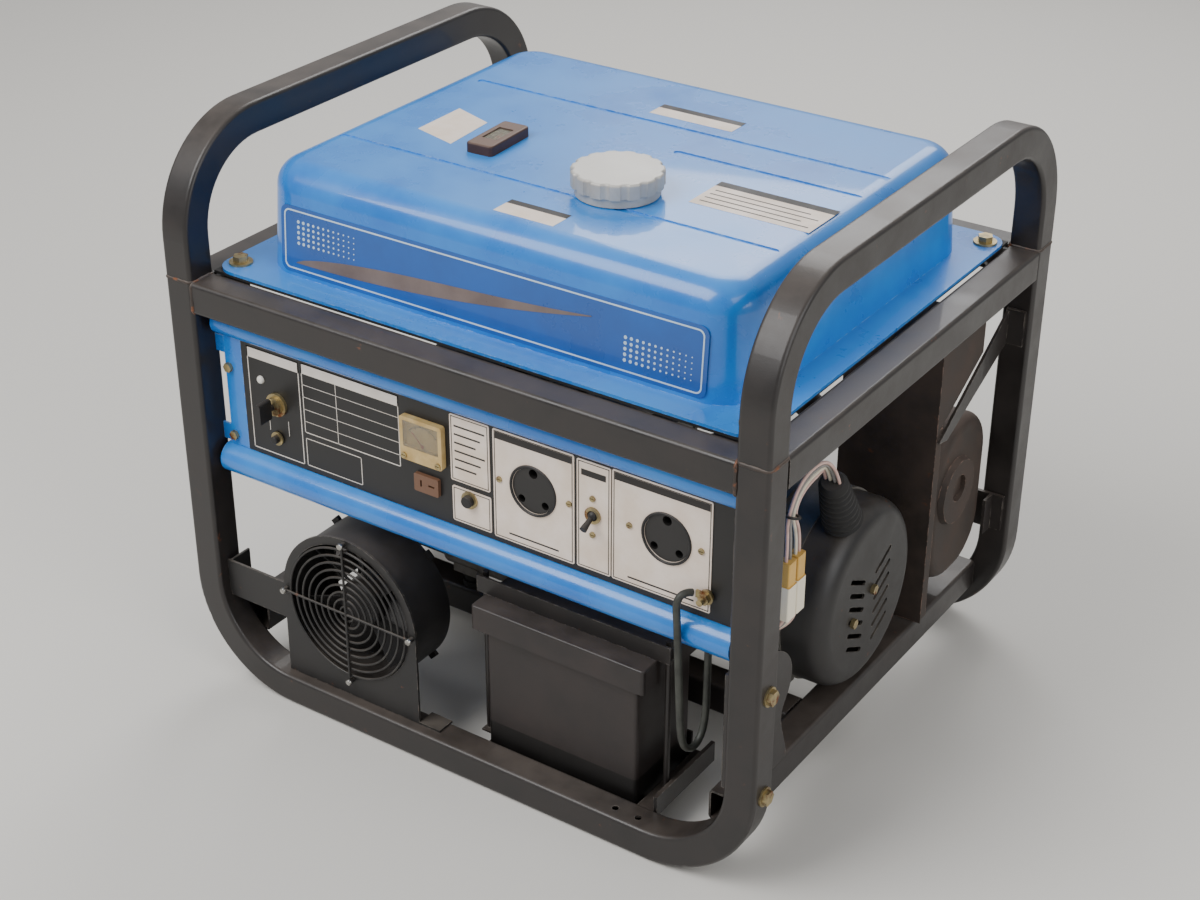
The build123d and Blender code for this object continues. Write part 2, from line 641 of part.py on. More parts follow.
with BuildPart() as muffler_guard:
    with BuildSketch(front_plane(GUARD_Y)):
        with Locations((250.0, 238.0)):
            Rectangle(104.0, 308.0)
    extrude(amount=-1.5)
    with BuildSketch(level_plane(GUARD_TOP)):
        with Locations((250.0, GUARD_Y + 46.0)):
            Rectangle(104.0, 92.0)
    extrude(amount=-1.5)
    with BuildSketch(side_plane(302.0)):
        with BuildLine():
            Polyline((GUARD_Y, 300.0), (GUARD_Y + 92.0, 352.0), (GUARD_Y + 92.0, GUARD_TOP),
                     (GUARD_Y, GUARD_TOP), close=True)
        make_face()
    extrude(amount=-1.5)
    with BuildSketch(side_plane(302.0)):
        with Locations((GUARD_Y + 6.0, 196.0)):
            Rectangle(12.0, 216.0)
    extrude(amount=-1.5)
save(muffler_guard, "muffler_guard")

# ---- Alternator ----------------------------------------------------------------------
STATOR_LEFT = COVER_END + 14.0
STATOR_RIGHT = 222.0
STATOR_R = 100.0
ROTOR_R = 61.5
with BuildPart() as alternator_flange:
    with BuildSketch(side_plane(COVER_END)):
        with Locations((SHAFT_Y, SHAFT_Z)):
            Circle(STATOR_R)
            Circle(70.0, mode=Mode.SUBTRACT)
    extrude(amount=STATOR_LEFT - COVER_END)

with BuildPart() as stator:
    with BuildSketch(side_plane(STATOR_LEFT)):
        with Locations((SHAFT_Y, SHAFT_Z)):
            Circle(STATOR_R)
            Circle(ROTOR_R + 1.5, mode=Mode.SUBTRACT)
    extrude(amount=STATOR_RIGHT - STATOR_LEFT)
save(stator, "stator")

with BuildPart() as rotor:
    with BuildSketch(side_plane(STATOR_LEFT + 10.0)):
        with Locations((SHAFT_Y, SHAFT_Z)):
            Circle(ROTOR_R)
            Circle(SHAFT_R, mode=Mode.SUBTRACT)
            with PolarLocations(ROTOR_R, 4):
                Circle(12.0, mode=Mode.SUBTRACT)
    extrude(amount=STATOR_RIGHT - STATOR_LEFT - 30.0)
save(rotor, "rotor")

BRACKET_R = 96.0
BRACKET_RIGHT = 258.0
with BuildPart() as end_bracket:
    with BuildSketch(side_plane(STATOR_RIGHT)):
        with Locations((SHAFT_Y, SHAFT_Z)):
            Circle(BRACKET_R)
    extrude(amount=BRACKET_RIGHT - STATOR_RIGHT)
    with BuildSketch(side_plane(STATOR_RIGHT)):
        with Locations((SHAFT_Y, SHAFT_Z)):
            Circle(BRACKET_R - 8.0)
            Circle(BEARING_R + 8.0, mode=Mode.SUBTRACT)
    extrude(amount=BRACKET_RIGHT - STATOR_RIGHT - 6.0, mode=Mode.SUBTRACT)
    with BuildSketch(side_plane(STATOR_RIGHT)):
        with Locations((SHAFT_Y, SHAFT_Z)):
            Circle(BEARING_R)
    extrude(amount=BRACKET_RIGHT - STATOR_RIGHT, mode=Mode.SUBTRACT)
    with BuildSketch(side_plane(STATOR_RIGHT)):
        with Locations((SHAFT_Y, SHAFT_Z)):
            with PolarLocations(BRACKET_R - 30.0, 12):
                SlotOverall(34.0, 8.0)
    extrude(amount=BRACKET_RIGHT - STATOR_RIGHT, mode=Mode.SUBTRACT)
    for side in (-1, 1):
        with BuildSketch(level_plane(MOUNT_Z)):
            with Locations((240.0, SHAFT_Y + side * MOUNT_SPREAD)):
                Rectangle(30.0, 28.0)
        extrude(amount=14.0)

COVER_R = 94.0
LOUVRE_ROWS = 6
save_group([alternator_flange, end_bracket], "alternator_ends")

with BuildPart() as end_cover:
    with BuildSketch(side_plane(BRACKET_RIGHT)):
        with Locations((SHAFT_Y, SHAFT_Z)):
            Circle(COVER_R)
    extrude(amount=COVER_FACE - BRACKET_RIGHT)
    fillet(end_cover.edges().group_by(Axis.X)[-1], 20.0)
    offset(amount=-2.0, openings=end_cover.faces().sort_by(Axis.X)[0])
    # air slots in herringbone rows
    for column in (-1, 1):
        for row in range(LOUVRE_ROWS):
            with BuildSketch(side_plane(COVER_FACE)):
                with Locations(Location((SHAFT_Y + column * 25.0, SHAFT_Z - 46.0 + row * 15.0), column * 28.0)):
                    SlotOverall(34.0, 5.0)
            extrude(amount=-3.0, mode=Mode.SUBTRACT)
save(end_cover, "end_cover")

# Ribbed rubber boot over the alternator leads.
BOOT_LOW = Vector(281.0, -48.0, 275.0)
BOOT_TOP = Vector(288.0, -86.0, 336.0)
boot_dir = (BOOT_TOP - BOOT_LOW).normalized()
boot_long = (BOOT_TOP - BOOT_LOW).length
boot_plane = Plane(origin=BOOT_LOW, z_dir=boot_dir)
RIB_COUNT = 8
with BuildPart() as lead_boot:
    with BuildSketch(boot_plane):
        Circle(16.0)
    with BuildSketch(boot_plane.offset(boot_long)):
        Circle(12.0)
    loft()
    for rib in range(RIB_COUNT):
        with BuildSketch(boot_plane.offset(4.0 + rib * 8.4)):
            Circle(19.0 - rib * 0.5)
        extrude(amount=4.4)
save(lead_boot, "lead_boot")

# ---- Leads on the right side ---------------------------------------------------------
WIRE_R = 1.6
WIRE_X = 300.0
PLUG_SPLIT = 284.0
PLUG_Y = (-184.0, -168.0)
PLUG_TOP = PLUG_SPLIT + 24.0
PLUG_BOTTOM = PLUG_SPLIT - 34.0
WIRE_PITCH = 3.8
with BuildPart() as harness_wires:
    for wire in range(4):
        side = wire - 1.5
        start = boot_plane.from_local_coords((side * 4.6, 0, boot_long + 0.2))
        plug_y = PLUG_Y[1 - wire // 2] + (3.0 if wire % 2 == 0 else -3.0)
        with BuildLine() as wire_line:
            FilletPolyline(
                start,
                start + boot_dir * (24.0 + side * WIRE_PITCH),
                (WIRE_X, -132.0, 377.0 + side * WIRE_PITCH),
                (WIRE_X, -166.0 - side * 2.0, 374.0 + side * WIRE_PITCH),
                (WIRE_X, -184.0 - side * WIRE_PITCH, 352.0),
                (WIRE_X, plug_y, 328.0),
                (WIRE_X, plug_y, PLUG_TOP),
                radius=9.0,
            )
        sweep(sections=round_section(wire_line.line, WIRE_R))
        with BuildLine() as return_line:
            FilletPolyline(
                (WIRE_X, plug_y, PLUG_BOTTOM),
                (WIRE_X, plug_y, 234.0 + side * WIRE_PITCH),
                (264.0 + side * WIRE_PITCH, -206.0, 228.0 + side * WIRE_PITCH),
                (264.0 + side * WIRE_PITCH, -206.0, PANEL_LOW),
                radius=6.0,
            )
        sweep(sections=round_section(return_line.line, WIRE_R))
save(harness_wires, "harness_wires")

with BuildPart() as wire_plugs:
    for y in PLUG_Y:
        with BuildSketch(level_plane(PLUG_SPLIT)):
            with Locations((WIRE_X, y)):
                RectangleRounded(11.0, 13.0, 1.5)
        extrude(amount=PLUG_TOP - PLUG_SPLIT)
        with BuildSketch(level_plane(PLUG_SPLIT)):
            with Locations((WIRE_X, y)):
                RectangleRounded(13.0, 14.4, 1.5)
        extrude(amount=PLUG_BOTTOM - PLUG_SPLIT)
save(wire_plugs, "wire_plugs")

# ---- Cooling fan ---------------------------------------------------------------------
FAN_OPENING_R = 74.0
BRACKET_GAP = 0.3        # between the bracket and the inside of the hoop
FAN_RING_R = 83.0
PLATE_THICK = 2.5
FAN_BASE = (-220.0, -54.0)
ARM_LOW = 95.0
ARM_HIGH = 136.0
fan_x, fan_z = FAN_SPOT
with BuildPart() as fan_bracket:
    with BuildSketch(front_plane(FAN_PLATE_Y)) as fan_plate:
        with Locations(FAN_SPOT):
            Circle(FAN_RING_R)
        with Locations(((FAN_BASE[0] + FAN_BASE[1]) / 2, (TUBE + fan_z) / 2)):
            Rectangle(FAN_BASE[1] - FAN_BASE[0], fan_z - TUBE)
        with Locations(((-INNER_X + fan_x) / 2, (ARM_LOW + ARM_HIGH) / 2)):
            Rectangle(fan_x + INNER_X, ARM_HIGH - ARM_LOW)
        corners = [v for v in fan_plate.vertices() if FAN_BASE[0] - 12 < v.X < FAN_BASE[0] + 12
                   and ARM_LOW - 5 < v.Z < ARM_HIGH + 12]
        fillet(corners, 18.0)
        with Locations((0, TUBE + FRAME_W / 2)):
            RectangleRounded(2 * (INNER_X - BRACKET_GAP), FRAME_W - 2 * BRACKET_GAP, HOOP_BEND - TUBE / 2,
                             mode=Mode.INTERSECT)
        with Locations(FAN_SPOT):
            Circle(FAN_OPENING_R, mode=Mode.SUBTRACT)
    extrude(amount=-PLATE_THICK)
    # ears turned back against the left post and along the rail
    with BuildSketch(side_plane(-INNER_X + PLATE_THICK)):
        with Locations((FAN_PLATE_Y + 14.0, (ARM_LOW + ARM_HIGH) / 2)):
            Rectangle(28.0, ARM_HIGH - ARM_LOW)
    extrude(amount=PLATE_THICK)
    with BuildSketch(level_plane(TUBE)):
        with Locations((FAN_BASE[1] + 12.5, FAN_PLATE_Y + 10.0)):
            Rectangle(25.0, 20.0)
    extrude(amount=PLATE_THICK)
save(fan_bracket, "fan_bracket")

GUARD_WIRE_R = 1.2
GUARD_RINGS = 9
GUARD_STEP = 8.0
SPOKE_REACH = 79.0
RING_Y = FAN_PLATE_Y - GUARD_WIRE_R - 1.0
SPOKE_Y = RING_Y - 1.5
with BuildPart() as fan_guard:
    with BuildSketch(side_plane(fan_x - SPOKE_REACH)):
        with Locations((SPOKE_Y, fan_z)):
            Circle(GUARD_WIRE_R)
    extrude(amount=2 * SPOKE_REACH)
    with BuildSketch(level_plane(fan_z - SPOKE_REACH)):
        with Locations((fan_x, SPOKE_Y - 0.6)):
            Circle(GUARD_WIRE_R)
    extrude(amount=2 * SPOKE_REACH)
    with BuildSketch(front_plane(FAN_PLATE_Y)):
        with Locations((fan_x - SPOKE_REACH, fan_z), (fan_x + SPOKE_REACH, fan_z),
                       (fan_x, fan_z + SPOKE_REACH), (fan_x, fan_z - SPOKE_REACH)):
            Circle(2.6)
    extrude(amount=FAN_PLATE_Y - SPOKE_Y + 2 * GUARD_WIRE_R)
    for ring in range(1, GUARD_RINGS + 1):
        with BuildSketch(Plane(origin=(fan_x, RING_Y, fan_z), x_dir=(1, 0, 1), z_dir=(-1, 0, 1))):
            with Locations((ring * GUARD_STEP, 0)):
                Circle(GUARD_WIRE_R)
        revolve(axis=Axis((fan_x, RING_Y, fan_z), (0, 1, 0)))
save(fan_guard, "fan_guard")

FAN_DUCT_R = 80.0
FAN_BACK = -204.0
with BuildPart() as fan_housing:
    with BuildSketch(front_plane(FAN_BACK)):
        with Locations(FAN_SPOT):
            Circle(FAN_DUCT_R)
            Circle(FAN_DUCT_R - 3.0, mode=Mode.SUBTRACT)
    extrude(amount=-(FAN_PLATE_Y + PLATE_THICK) + FAN_BACK)
    with BuildSketch(front_plane(FAN_BACK)):
        with Locations(FAN_SPOT):
            Circle(FAN_DUCT_R)
            Circle(34.0, mode=Mode.SUBTRACT)
        for angle in (45.0, 135.0, 225.0, 315.0):
            with Locations(Location(FAN_SPOT, angle)):
                with Locations((55.0, 0)):
                    Rectangle(60.0, 10.0)
        with Locations(FAN_SPOT):
            Circle(66.0, mode=Mode.SUBTRACT)
            Circle(34.0)
        for angle in (45.0, 135.0, 225.0, 315.0):
            with Locations(Location(FAN_SPOT, angle)):
                with Locations((52.0, 0)):
                    Rectangle(40.0, 8.0)
    extrude(amount=4.0)
    with BuildSketch(front_plane(FAN_BACK)):
        with Locations(FAN_SPOT):
            Circle(30.0)
    extrude(amount=-26.0)
    with BuildSketch(front_plane(FAN_BACK - 30.0)):
        with Locations(FAN_SPOT):
            Circle(3.05)
    extrude(amount=-60.0, mode=Mode.SUBTRACT)
save(fan_housing, "fan_housing")

BLADE_COUNT = 7
with BuildPart() as fan_impeller:
    with BuildSketch(front_plane(FAN_BACK - 10.0)):
        with Locations(FAN_SPOT):
            Circle(25.0)
    extrude(amount=34.0)
    fillet(fan_impeller.edges().group_by(Axis.Y)[0], 6.0)
    with BuildSketch(front_plane(FAN_BACK + 20.0)):
        with Locations(FAN_SPOT):
            Circle(3.0)
    extrude(amount=36.0)
    for blade in range(BLADE_COUNT):
        turn = 360.0 / BLADE_COUNT * blade
        spoke = Vector(cos(radians(turn)), 0, sin(radians(turn)))
        across = Vector(-sin(radians(turn)), 0, cos(radians(turn)))
        pitch = across * cos(radians(38.0)) + Vector(0, 1, 0) * sin(radians(38.0))
        blade_plane = Plane(origin=Vector(fan_x, -230.0, fan_z) + spoke * 20.0, x_dir=pitch, z_dir=spoke)
        with BuildSketch(blade_plane):
            SlotOverall(24.0, 2.0)
        with BuildSketch(blade_plane.offset(50.0)):
            SlotOverall(38.0, 2.0)
        loft()
save(fan_impeller, "fan_impeller")

# ---- Battery -------------------------------------------------------------------------
BATTERY_BACK = -146.0
CASE_X = (13.0, 183.0)
LID_X = (0.0, 194.0)
TRAY_Z = 20.0
LID_LOW = 157.0
LID_HIGH = 183.0
with BuildPart() as battery_tray:
    with BuildSketch(level_plane(TRAY_Z)):
        with Locations(((CASE_X[0] + CASE_X[1]) / 2, (-INNER_Y + BATTERY_BACK + 3.0) / 2)):
            Rectangle(CASE_X[1] - CASE_X[0] + 6.0, BATTERY_BACK + 3.0 + INNER_Y)
    extrude(amount=2.0)
    with BuildSketch(front_plane(BATTERY_BACK + 3.0)):
        with Locations(((CASE_X[0] + CASE_X[1]) / 2, TRAY_Z + 16.0)):
            Rectangle(CASE_X[1] - CASE_X[0] + 6.0, 32.0)
    extrude(amount=2.0)
    # two straps up to the front engine rail
    for x in (60.0, 140.0):
        with BuildSketch(front_plane(BATTERY_BACK + 3.0)):
            with Locations((x, TRAY_Z + 1.0)):
                Rectangle(24.0, 2.0)
        extrude(amount=-45.0)
        with BuildSketch(front_plane(BATTERY_BACK + 48.0)):
            with Locations((x, (TRAY_Z + SIDE_RAIL_LOW) / 2)):
                Rectangle(24.0, SIDE_RAIL_LOW - TRAY_Z)
        extrude(amount=2.0)
    # angle bar from the front rail back along the right side of the tray
    with BuildSketch(front_plane(-INNER_Y)):
        with Locations((198.0, 27.0)):
            Rectangle(22.0, 4.0)
        with Locations((207.0, 36.0)):
            Rectangle(4.0, 22.0)
    extrude(amount=-102.0)
    with BuildSketch(level_plane(25.0)):
        with Locations((188.0, -150.0), (188.0, -230.0)):
            Rectangle(8.0, 16.0)
    extrude(amount=-5.0)

with BuildPart() as battery_case:
    with BuildSketch(level_plane(TRAY_Z + 2.0)):
        with Locations(((CASE_X[0] + CASE_X[1]) / 2, (BATTERY_FRONT + BATTERY_BACK) / 2)):
            RectangleRounded(CASE_X[1] - CASE_X[0], BATTERY_BACK - BATTERY_FRONT, 4.0)
    extrude(amount=LID_LOW - TRAY_Z - 2.0)

with BuildPart() as battery_lid:
    with BuildSketch(level_plane(LID_LOW)):
        with Locations(((LID_X[0] + LID_X[1]) / 2, (BATTERY_FRONT + BATTERY_BACK) / 2)):
            RectangleRounded(LID_X[1] - LID_X[0], BATTERY_BACK - BATTERY_FRONT + 14.0, 4.0)
    extrude(amount=LID_HIGH - LID_LOW)
    fillet(battery_lid.edges().group_by(Axis.Z)[-1], 2.0)
    with BuildSketch(level_plane(LID_HIGH)):
        with Locations((22.0, -160.0), (172.0, -160.0)):
            Circle(8.0)
    extrude(amount=14.0, taper=4)

with BuildPart() as battery_clamp:
    with BuildSketch(level_plane(LID_HIGH)):
        with Locations((99.0, -214.0)):
            Rectangle(216.0, 16.0)
    extrude(amount=3.0)
    with BuildSketch(front_plane(-222.0)):
        with Locations((99.0, LID_HIGH + 9.0)):
            Rectangle(216.0, 18.0)
    extrude(amount=-2.0)
    for x, y in ((201.0, -214.0), (-4.0, -214.0)):
        with BuildSketch(level_plane(29.0 if x > 0 else TRAY_Z)):
            with Locations((x, y)):
                Circle(3.0)
        extrude(amount=LID_HIGH + 20.0 - (29.0 if x > 0 else TRAY_Z))
        with BuildSketch(level_plane(LID_HIGH + 3.0)):
            with Locations((x, y)):
                RegularPolygon(6.0, 6)
        extrude(amount=6.0)
    with BuildSketch(level_plane(TRAY_Z)):
        with Locations((0.0, -214.0)):
            Rectangle(16.0, 16.0)
    extrude(amount=2.0)

save_group([battery_tray, battery_clamp], "battery_tray")
save_group([battery_case, battery_lid], "battery_box")

# ---- Control panel -------------------------------------------------------------------
PANEL_BACK = -172.0
FACE_X = (-262.0, 284.0)
HOUSING_X = 284.0
FACE_THICK = 1.5
PLATE_RAISE = 0.8
SOCKETS = [(79.3, 335.5), (218.5, 335.7)]
SOCKET_R = 22.3
KEY_SPOT = (-220.0, 331.0)
BREAKER_SPOT = (-222.0, 294.0)
LAMP_SPOT = (-239.0, 352.0)
DC_BREAKER_SPOT = (9.0, 303.0)
TOGGLE_SPOT = (143.5, 333.0)
METER_X = (-66.0, -18.0)
METER_Z = (325.5, 370.0)
DC_X = (-53.0, -25.0)
DC_Z = (294.7, 313.0)
EARTH_BOLT = (261.4, 294.0)
WHITE_PLATES = [(-12.0, 32.0, 318.0, 386.0), (-11.0, 32.7, 275.8, 312.6), (36.0, 123.3, 275.0, 386.0),
                (126.2, 161.6, 276.0, 385.0), (163.0, 263.5, 276.0, 386.0)]
SCREWS = [(42.7, 336.0), (118.2, 336.0), (143.0, 349.5), (143.0, 313.0), (181.0, 336.0), (253.5, 335.5),
          (-61.5, 330.0), (-22.5, 330.0)]
panel_width = 2 * HOUSING_X
FACE_LOW = 269.6
FACE_HIGH = 387.0
ROLL_REACH = 290.0
ROLL_LOW = (-247.0, 253.0, 16.0)      # y, z and radius
ROLL_HIGH = (-247.0, 400.5, 12.9)
with BuildPart() as panel_housing:
    with BuildSketch(front_plane(PANEL_Y + FACE_THICK)):
        with Locations((0, PANEL_MID_Z)):
            Rectangle(panel_width, PANEL_HIGH - PANEL_LOW)
            Rectangle(panel_width - 3.0, PANEL_HIGH - PANEL_LOW - 3.0, mode=Mode.SUBTRACT)
    extrude(amount=PANEL_Y + FACE_THICK - PANEL_BACK)
    with BuildSketch(front_plane(PANEL_BACK)):
        with Locations((0, PANEL_MID_Z)):
            Rectangle(panel_width, PANEL_HIGH - PANEL_LOW)
    extrude(amount=1.5)
    with BuildSketch(front_plane(PANEL_Y)):
        with Locations(((-HOUSING_X + FACE_X[0]) / 2, (FACE_LOW + FACE_HIGH) / 2)):
            Rectangle(FACE_X[0] + HOUSING_X, FACE_HIGH - FACE_LOW)
    extrude(amount=-FACE_THICK)
    for x in (-(HOUSING_X + INNER_X) / 2, (HOUSING_X + INNER_X) / 2):
        with BuildSketch(front_plane(PANEL_Y + FACE_THICK)):
            with Locations((x, PANEL_LOW + 12.0), (x, PANEL_HIGH - 12.0)):
                Rectangle(INNER_X - HOUSING_X, 18.0)
        extrude(amount=-2.0)
    # rolled front edges of the sheet, above and below the face
    for y, z, radius in (ROLL_LOW, ROLL_HIGH):
        with BuildSketch(side_plane(-ROLL_REACH)):
            with Locations((y, z)):
                Circle(radius)
                Circle(radius - 2.0, mode=Mode.SUBTRACT)
        extrude(amount=2 * ROLL_REACH)
save(panel_housing, "panel_housing")

def panel_holes(clear):
    """Openings for the fittings, in a sketch on the panel."""
    with Locations(*SOCKETS):
        Circle(SOCKET_R + clear, mode=Mode.SUBTRACT)
    with Locations(KEY_SPOT):
        Circle(9.0 + clear, mode=Mode.SUBTRACT)
    with Locations(BREAKER_SPOT):
        Circle(5.0 + clear, mode=Mode.SUBTRACT)
    with Locations(LAMP_SPOT):
        Circle(4.0 + clear, mode=Mode.SUBTRACT)
    with Locations(DC_BREAKER_SPOT):
        Circle(7.0 + clear, mode=Mode.SUBTRACT)
    with Locations(TOGGLE_SPOT):
        Circle(6.5 + clear, mode=Mode.SUBTRACT)
    with Locations((sum(METER_X) / 2, sum(METER_Z) / 2)):
        Rectangle(METER_X[1] - METER_X[0] - 8.0, METER_Z[1] - METER_Z[0] - 8.0, mode=Mode.SUBTRACT)
    with Locations((sum(DC_X) / 2, sum(DC_Z) / 2)):
        Rectangle(DC_X[1] - DC_X[0] - 4.0, DC_Z[1] - DC_Z[0] - 4.0, mode=Mode.SUBTRACT)


HOLE_CLEAR = 0.2
with BuildPart() as panel_face:
    with BuildSketch(front_plane(PANEL_Y)):
        with Locations(((FACE_X[0] + FACE_X[1]) / 2, (FACE_LOW + FACE_HIGH) / 2)):
            Rectangle(FACE_X[1] - FACE_X[0], FACE_HIGH - FACE_LOW)
        panel_holes(HOLE_CLEAR)
    extrude(amount=-FACE_THICK)
save(panel_face, "panel_face")

with BuildPart() as panel_plates:
    with BuildSketch(front_plane(PANEL_Y)):
        for left, right, low, high in WHITE_PLATES:
            with Locations(((left + right) / 2, (low + high) / 2)):
                RectangleRounded(right - left, high - low, 2.0)
        panel_holes(HOLE_CLEAR)
        with Locations(EARTH_BOLT):
            Circle(6.0, mode=Mode.SUBTRACT)
    extrude(amount=PLATE_RAISE)
save(panel_plates, "panel_plates")

# Three round pin holes a socket: line and neutral 25.4 apart, earth 28.6 above them.
PIN_HOLE_R = 3.8
EARTH_HOLE_R = 4.6
LINE_DROP = 11.5
EARTH_RISE = 17.1
PIN_SPREAD = 12.7
HOLE_DEEP = 21.0
SOCKET_FRONT = PANEL_Y - PLATE_RAISE + 0.6
with BuildPart() as ac_sockets:
    with BuildSketch(front_plane(SOCKET_FRONT)):
        with Locations(*SOCKETS):
            Circle(SOCKET_R)
    extrude(amount=-30.0)
    for x, z in SOCKETS:
        with BuildSketch(front_plane(SOCKET_FRONT)):
            with Locations((x - PIN_SPREAD, z - LINE_DROP), (x + PIN_SPREAD, z - LINE_DROP)):
                Circle(PIN_HOLE_R)
            with Locations((x, z + EARTH_RISE)):
                Circle(EARTH_HOLE_R)
        extrude(amount=-HOLE_DEEP, mode=Mode.SUBTRACT)
    with BuildSketch(front_plane(PANEL_Y + FACE_THICK)):
        with Locations(*SOCKETS):
            Circle(SOCKET_R + 4.0)
            Circle(SOCKET_R, mode=Mode.SUBTRACT)
    extrude(amount=-3.0)

METER_FRONT = PANEL_Y - 6.0
meter_mid = ((METER_X[0] + METER_X[1]) / 2, (METER_Z[0] + METER_Z[1]) / 2)
meter_wide = METER_X[1] - METER_X[0]
meter_high = METER_Z[1] - METER_Z[0]
NEEDLE_SPOT = (meter_mid[0], METER_Z[0] + 17.0)
with BuildPart() as voltmeter_case:
    with BuildSketch(front_plane(PANEL_Y)):
        with Locations(meter_mid):
            RectangleRounded(meter_wide, meter_high, 3.0)
    extrude(amount=6.0)
    with BuildSketch(front_plane(PANEL_Y)):
        with Locations(meter_mid):
            Rectangle(meter_wide - 8.4, meter_high - 8.4)
    extrude(amount=-24.0)
    with BuildSketch(front_plane(METER_FRONT)):
        with Locations((meter_mid[0], meter_mid[1] + 5.0)):
            Rectangle(meter_wide - 8.0, meter_high - 18.0)
    extrude(amount=-5.0, mode=Mode.SUBTRACT)

NEEDLE_Y = METER_FRONT + 3.0
NEEDLE_LONG = 17.0
needle_angle = radians(135.0)
with BuildPart() as voltmeter_needle:
    with BuildSketch(front_plane(NEEDLE_Y)):
        with Locations(Location((meter_mid[0] + cos(needle_angle) * NEEDLE_LONG / 2,
                                 NEEDLE_SPOT[1] + sin(needle_angle) * NEEDLE_LONG / 2), 135.0)):
            Rectangle(NEEDLE_LONG, 0.8)
        with Locations((meter_mid[0], NEEDLE_SPOT[1])):
            Circle(1.8)
    extrude(amount=-0.6)
save(voltmeter_needle, "voltmeter_needle")

with BuildPart() as dc_terminals:
    with BuildSketch(front_plane(PANEL_Y)):
        with Locations((sum(DC_X) / 2, sum(DC_Z) / 2)):
            RectangleRounded(DC_X[1] - DC_X[0], DC_Z[1] - DC_Z[0], 1.5)
    extrude(amount=4.0)
    with BuildSketch(front_plane(PANEL_Y)):
        with Locations((sum(DC_X) / 2, sum(DC_Z) / 2)):
            Rectangle(DC_X[1] - DC_X[0] - 4.4, DC_Z[1] - DC_Z[0] - 4.4)
    extrude(amount=-16.0)
    with BuildSketch(front_plane(PANEL_Y - 4.0)):
        with Locations((sum(DC_X) / 2 - 6.0, sum(DC_Z) / 2)):
            Rectangle(2.0, 7.0)
        with Locations((sum(DC_X) / 2 + 6.0, sum(DC_Z) / 2)):
            Rectangle(7.0, 2.0)
    extrude(amount=-12.0, mode=Mode.SUBTRACT)

KEY_HOLE_R = 3.1
with BuildPart() as key_barrel:
    with BuildSketch(front_plane(PANEL_Y + 22.0)):
        with Locations(KEY_SPOT):
            Circle(9.0)
    extrude(amount=30.0)
    with BuildSketch(front_plane(PANEL_Y)):
        with Locations(KEY_SPOT):
            Circle(12.0)
            Circle(9.0, mode=Mode.SUBTRACT)
    extrude(amount=3.0)
    with BuildSketch(front_plane(PANEL_Y - 8.0)):
        with Locations(KEY_SPOT):
            Circle(KEY_HOLE_R)
    extrude(amount=-14.0, mode=Mode.SUBTRACT)

with BuildPart() as engine_key:
    with BuildSketch(front_plane(PANEL_Y + 4.0)):
        with Locations(KEY_SPOT):
            Circle(KEY_HOLE_R - 0.1)
    extrude(amount=16.0)
    with BuildSketch(front_plane(PANEL_Y - 12.0)):
        with Locations(KEY_SPOT):
            RectangleRounded(6.5, 22.0, 3.0)
    extrude(amount=16.0)
save(engine_key, "engine_key")

with BuildPart() as panel_collars:
    for (x, z), inner, outer, sunk in ((BREAKER_SPOT, 4.0, 7.0, 5.0), (DC_BREAKER_SPOT, 5.8, 8.6, 7.0),
                                       (TOGGLE_SPOT, 5.0, 8.0, 6.5)):
        with BuildSketch(front_plane(PANEL_Y - PLATE_RAISE)):
            with Locations((x, z)):
                Circle(outer)
                Circle(inner, mode=Mode.SUBTRACT)
        extrude(amount=2.0)
        with BuildSketch(front_plane(PANEL_Y - PLATE_RAISE)):
            with Locations((x, z)):
                Circle(sunk)
                Circle(inner, mode=Mode.SUBTRACT)
        extrude(amount=-14.0)

BUTTON_GAP = 0.1
for name, (x, z), radius in (("breaker_button", BREAKER_SPOT, 4.0), ("dc_breaker_button", DC_BREAKER_SPOT, 5.8)):
    with BuildPart() as button:
        with BuildSketch(front_plane(PANEL_Y + 6.0)):
            with Locations((x, z)):
                Circle(radius - BUTTON_GAP)
        extrude(amount=14.0)
        fillet(button.edges().group_by(Axis.Y)[0], 1.2)
    save(button, name)

TOGGLE_BALL_R = 4.6
TOGGLE_BALL_Y = PANEL_Y - 1.2
with BuildPart() as toggle_lever:
    with Locations((TOGGLE_SPOT[0], TOGGLE_BALL_Y, TOGGLE_SPOT[1])):
        Sphere(TOGGLE_BALL_R)
    toggle_dir = Vector(0, -cos(radians(25.0)), -sin(radians(25.0)))
    toggle_plane = Plane(origin=(TOGGLE_SPOT[0], TOGGLE_BALL_Y, TOGGLE_SPOT[1]), z_dir=toggle_dir)
    with BuildSketch(toggle_plane):
        Circle(1.8)
    with BuildSketch(toggle_plane.offset(17.0)):
        Circle(3.4)
    loft()
save(toggle_lever, "toggle_lever")

with BuildPart() as pilot_lamp:
    with BuildSketch(front_plane(PANEL_Y + 10.0)):
        with Locations(LAMP_SPOT):
            Circle(4.0)
    extrude(amount=13.0)
    fillet(pilot_lamp.edges().group_by(Axis.Y)[0], 2.5)

with BuildPart() as panel_screws:
    for x, z in SCREWS:
        ground = METER_FRONT if x < -12.0 else PANEL_Y - PLATE_RAISE
        with BuildSketch(front_plane(ground)):
            with Locations((x, z)):
                Circle(2.9)
                Rectangle(4.4, 0.8, mode=Mode.SUBTRACT)
        extrude(amount=1.4)
    for z in (PANEL_LOW + 12.0, PANEL_HIGH - 34.0):
        with BuildSketch(front_plane(PANEL_Y)):
            with Locations((-HOUSING_X + 5.0, z)):
                RegularPolygon(5.0, 6)
        extrude(amount=4.0)

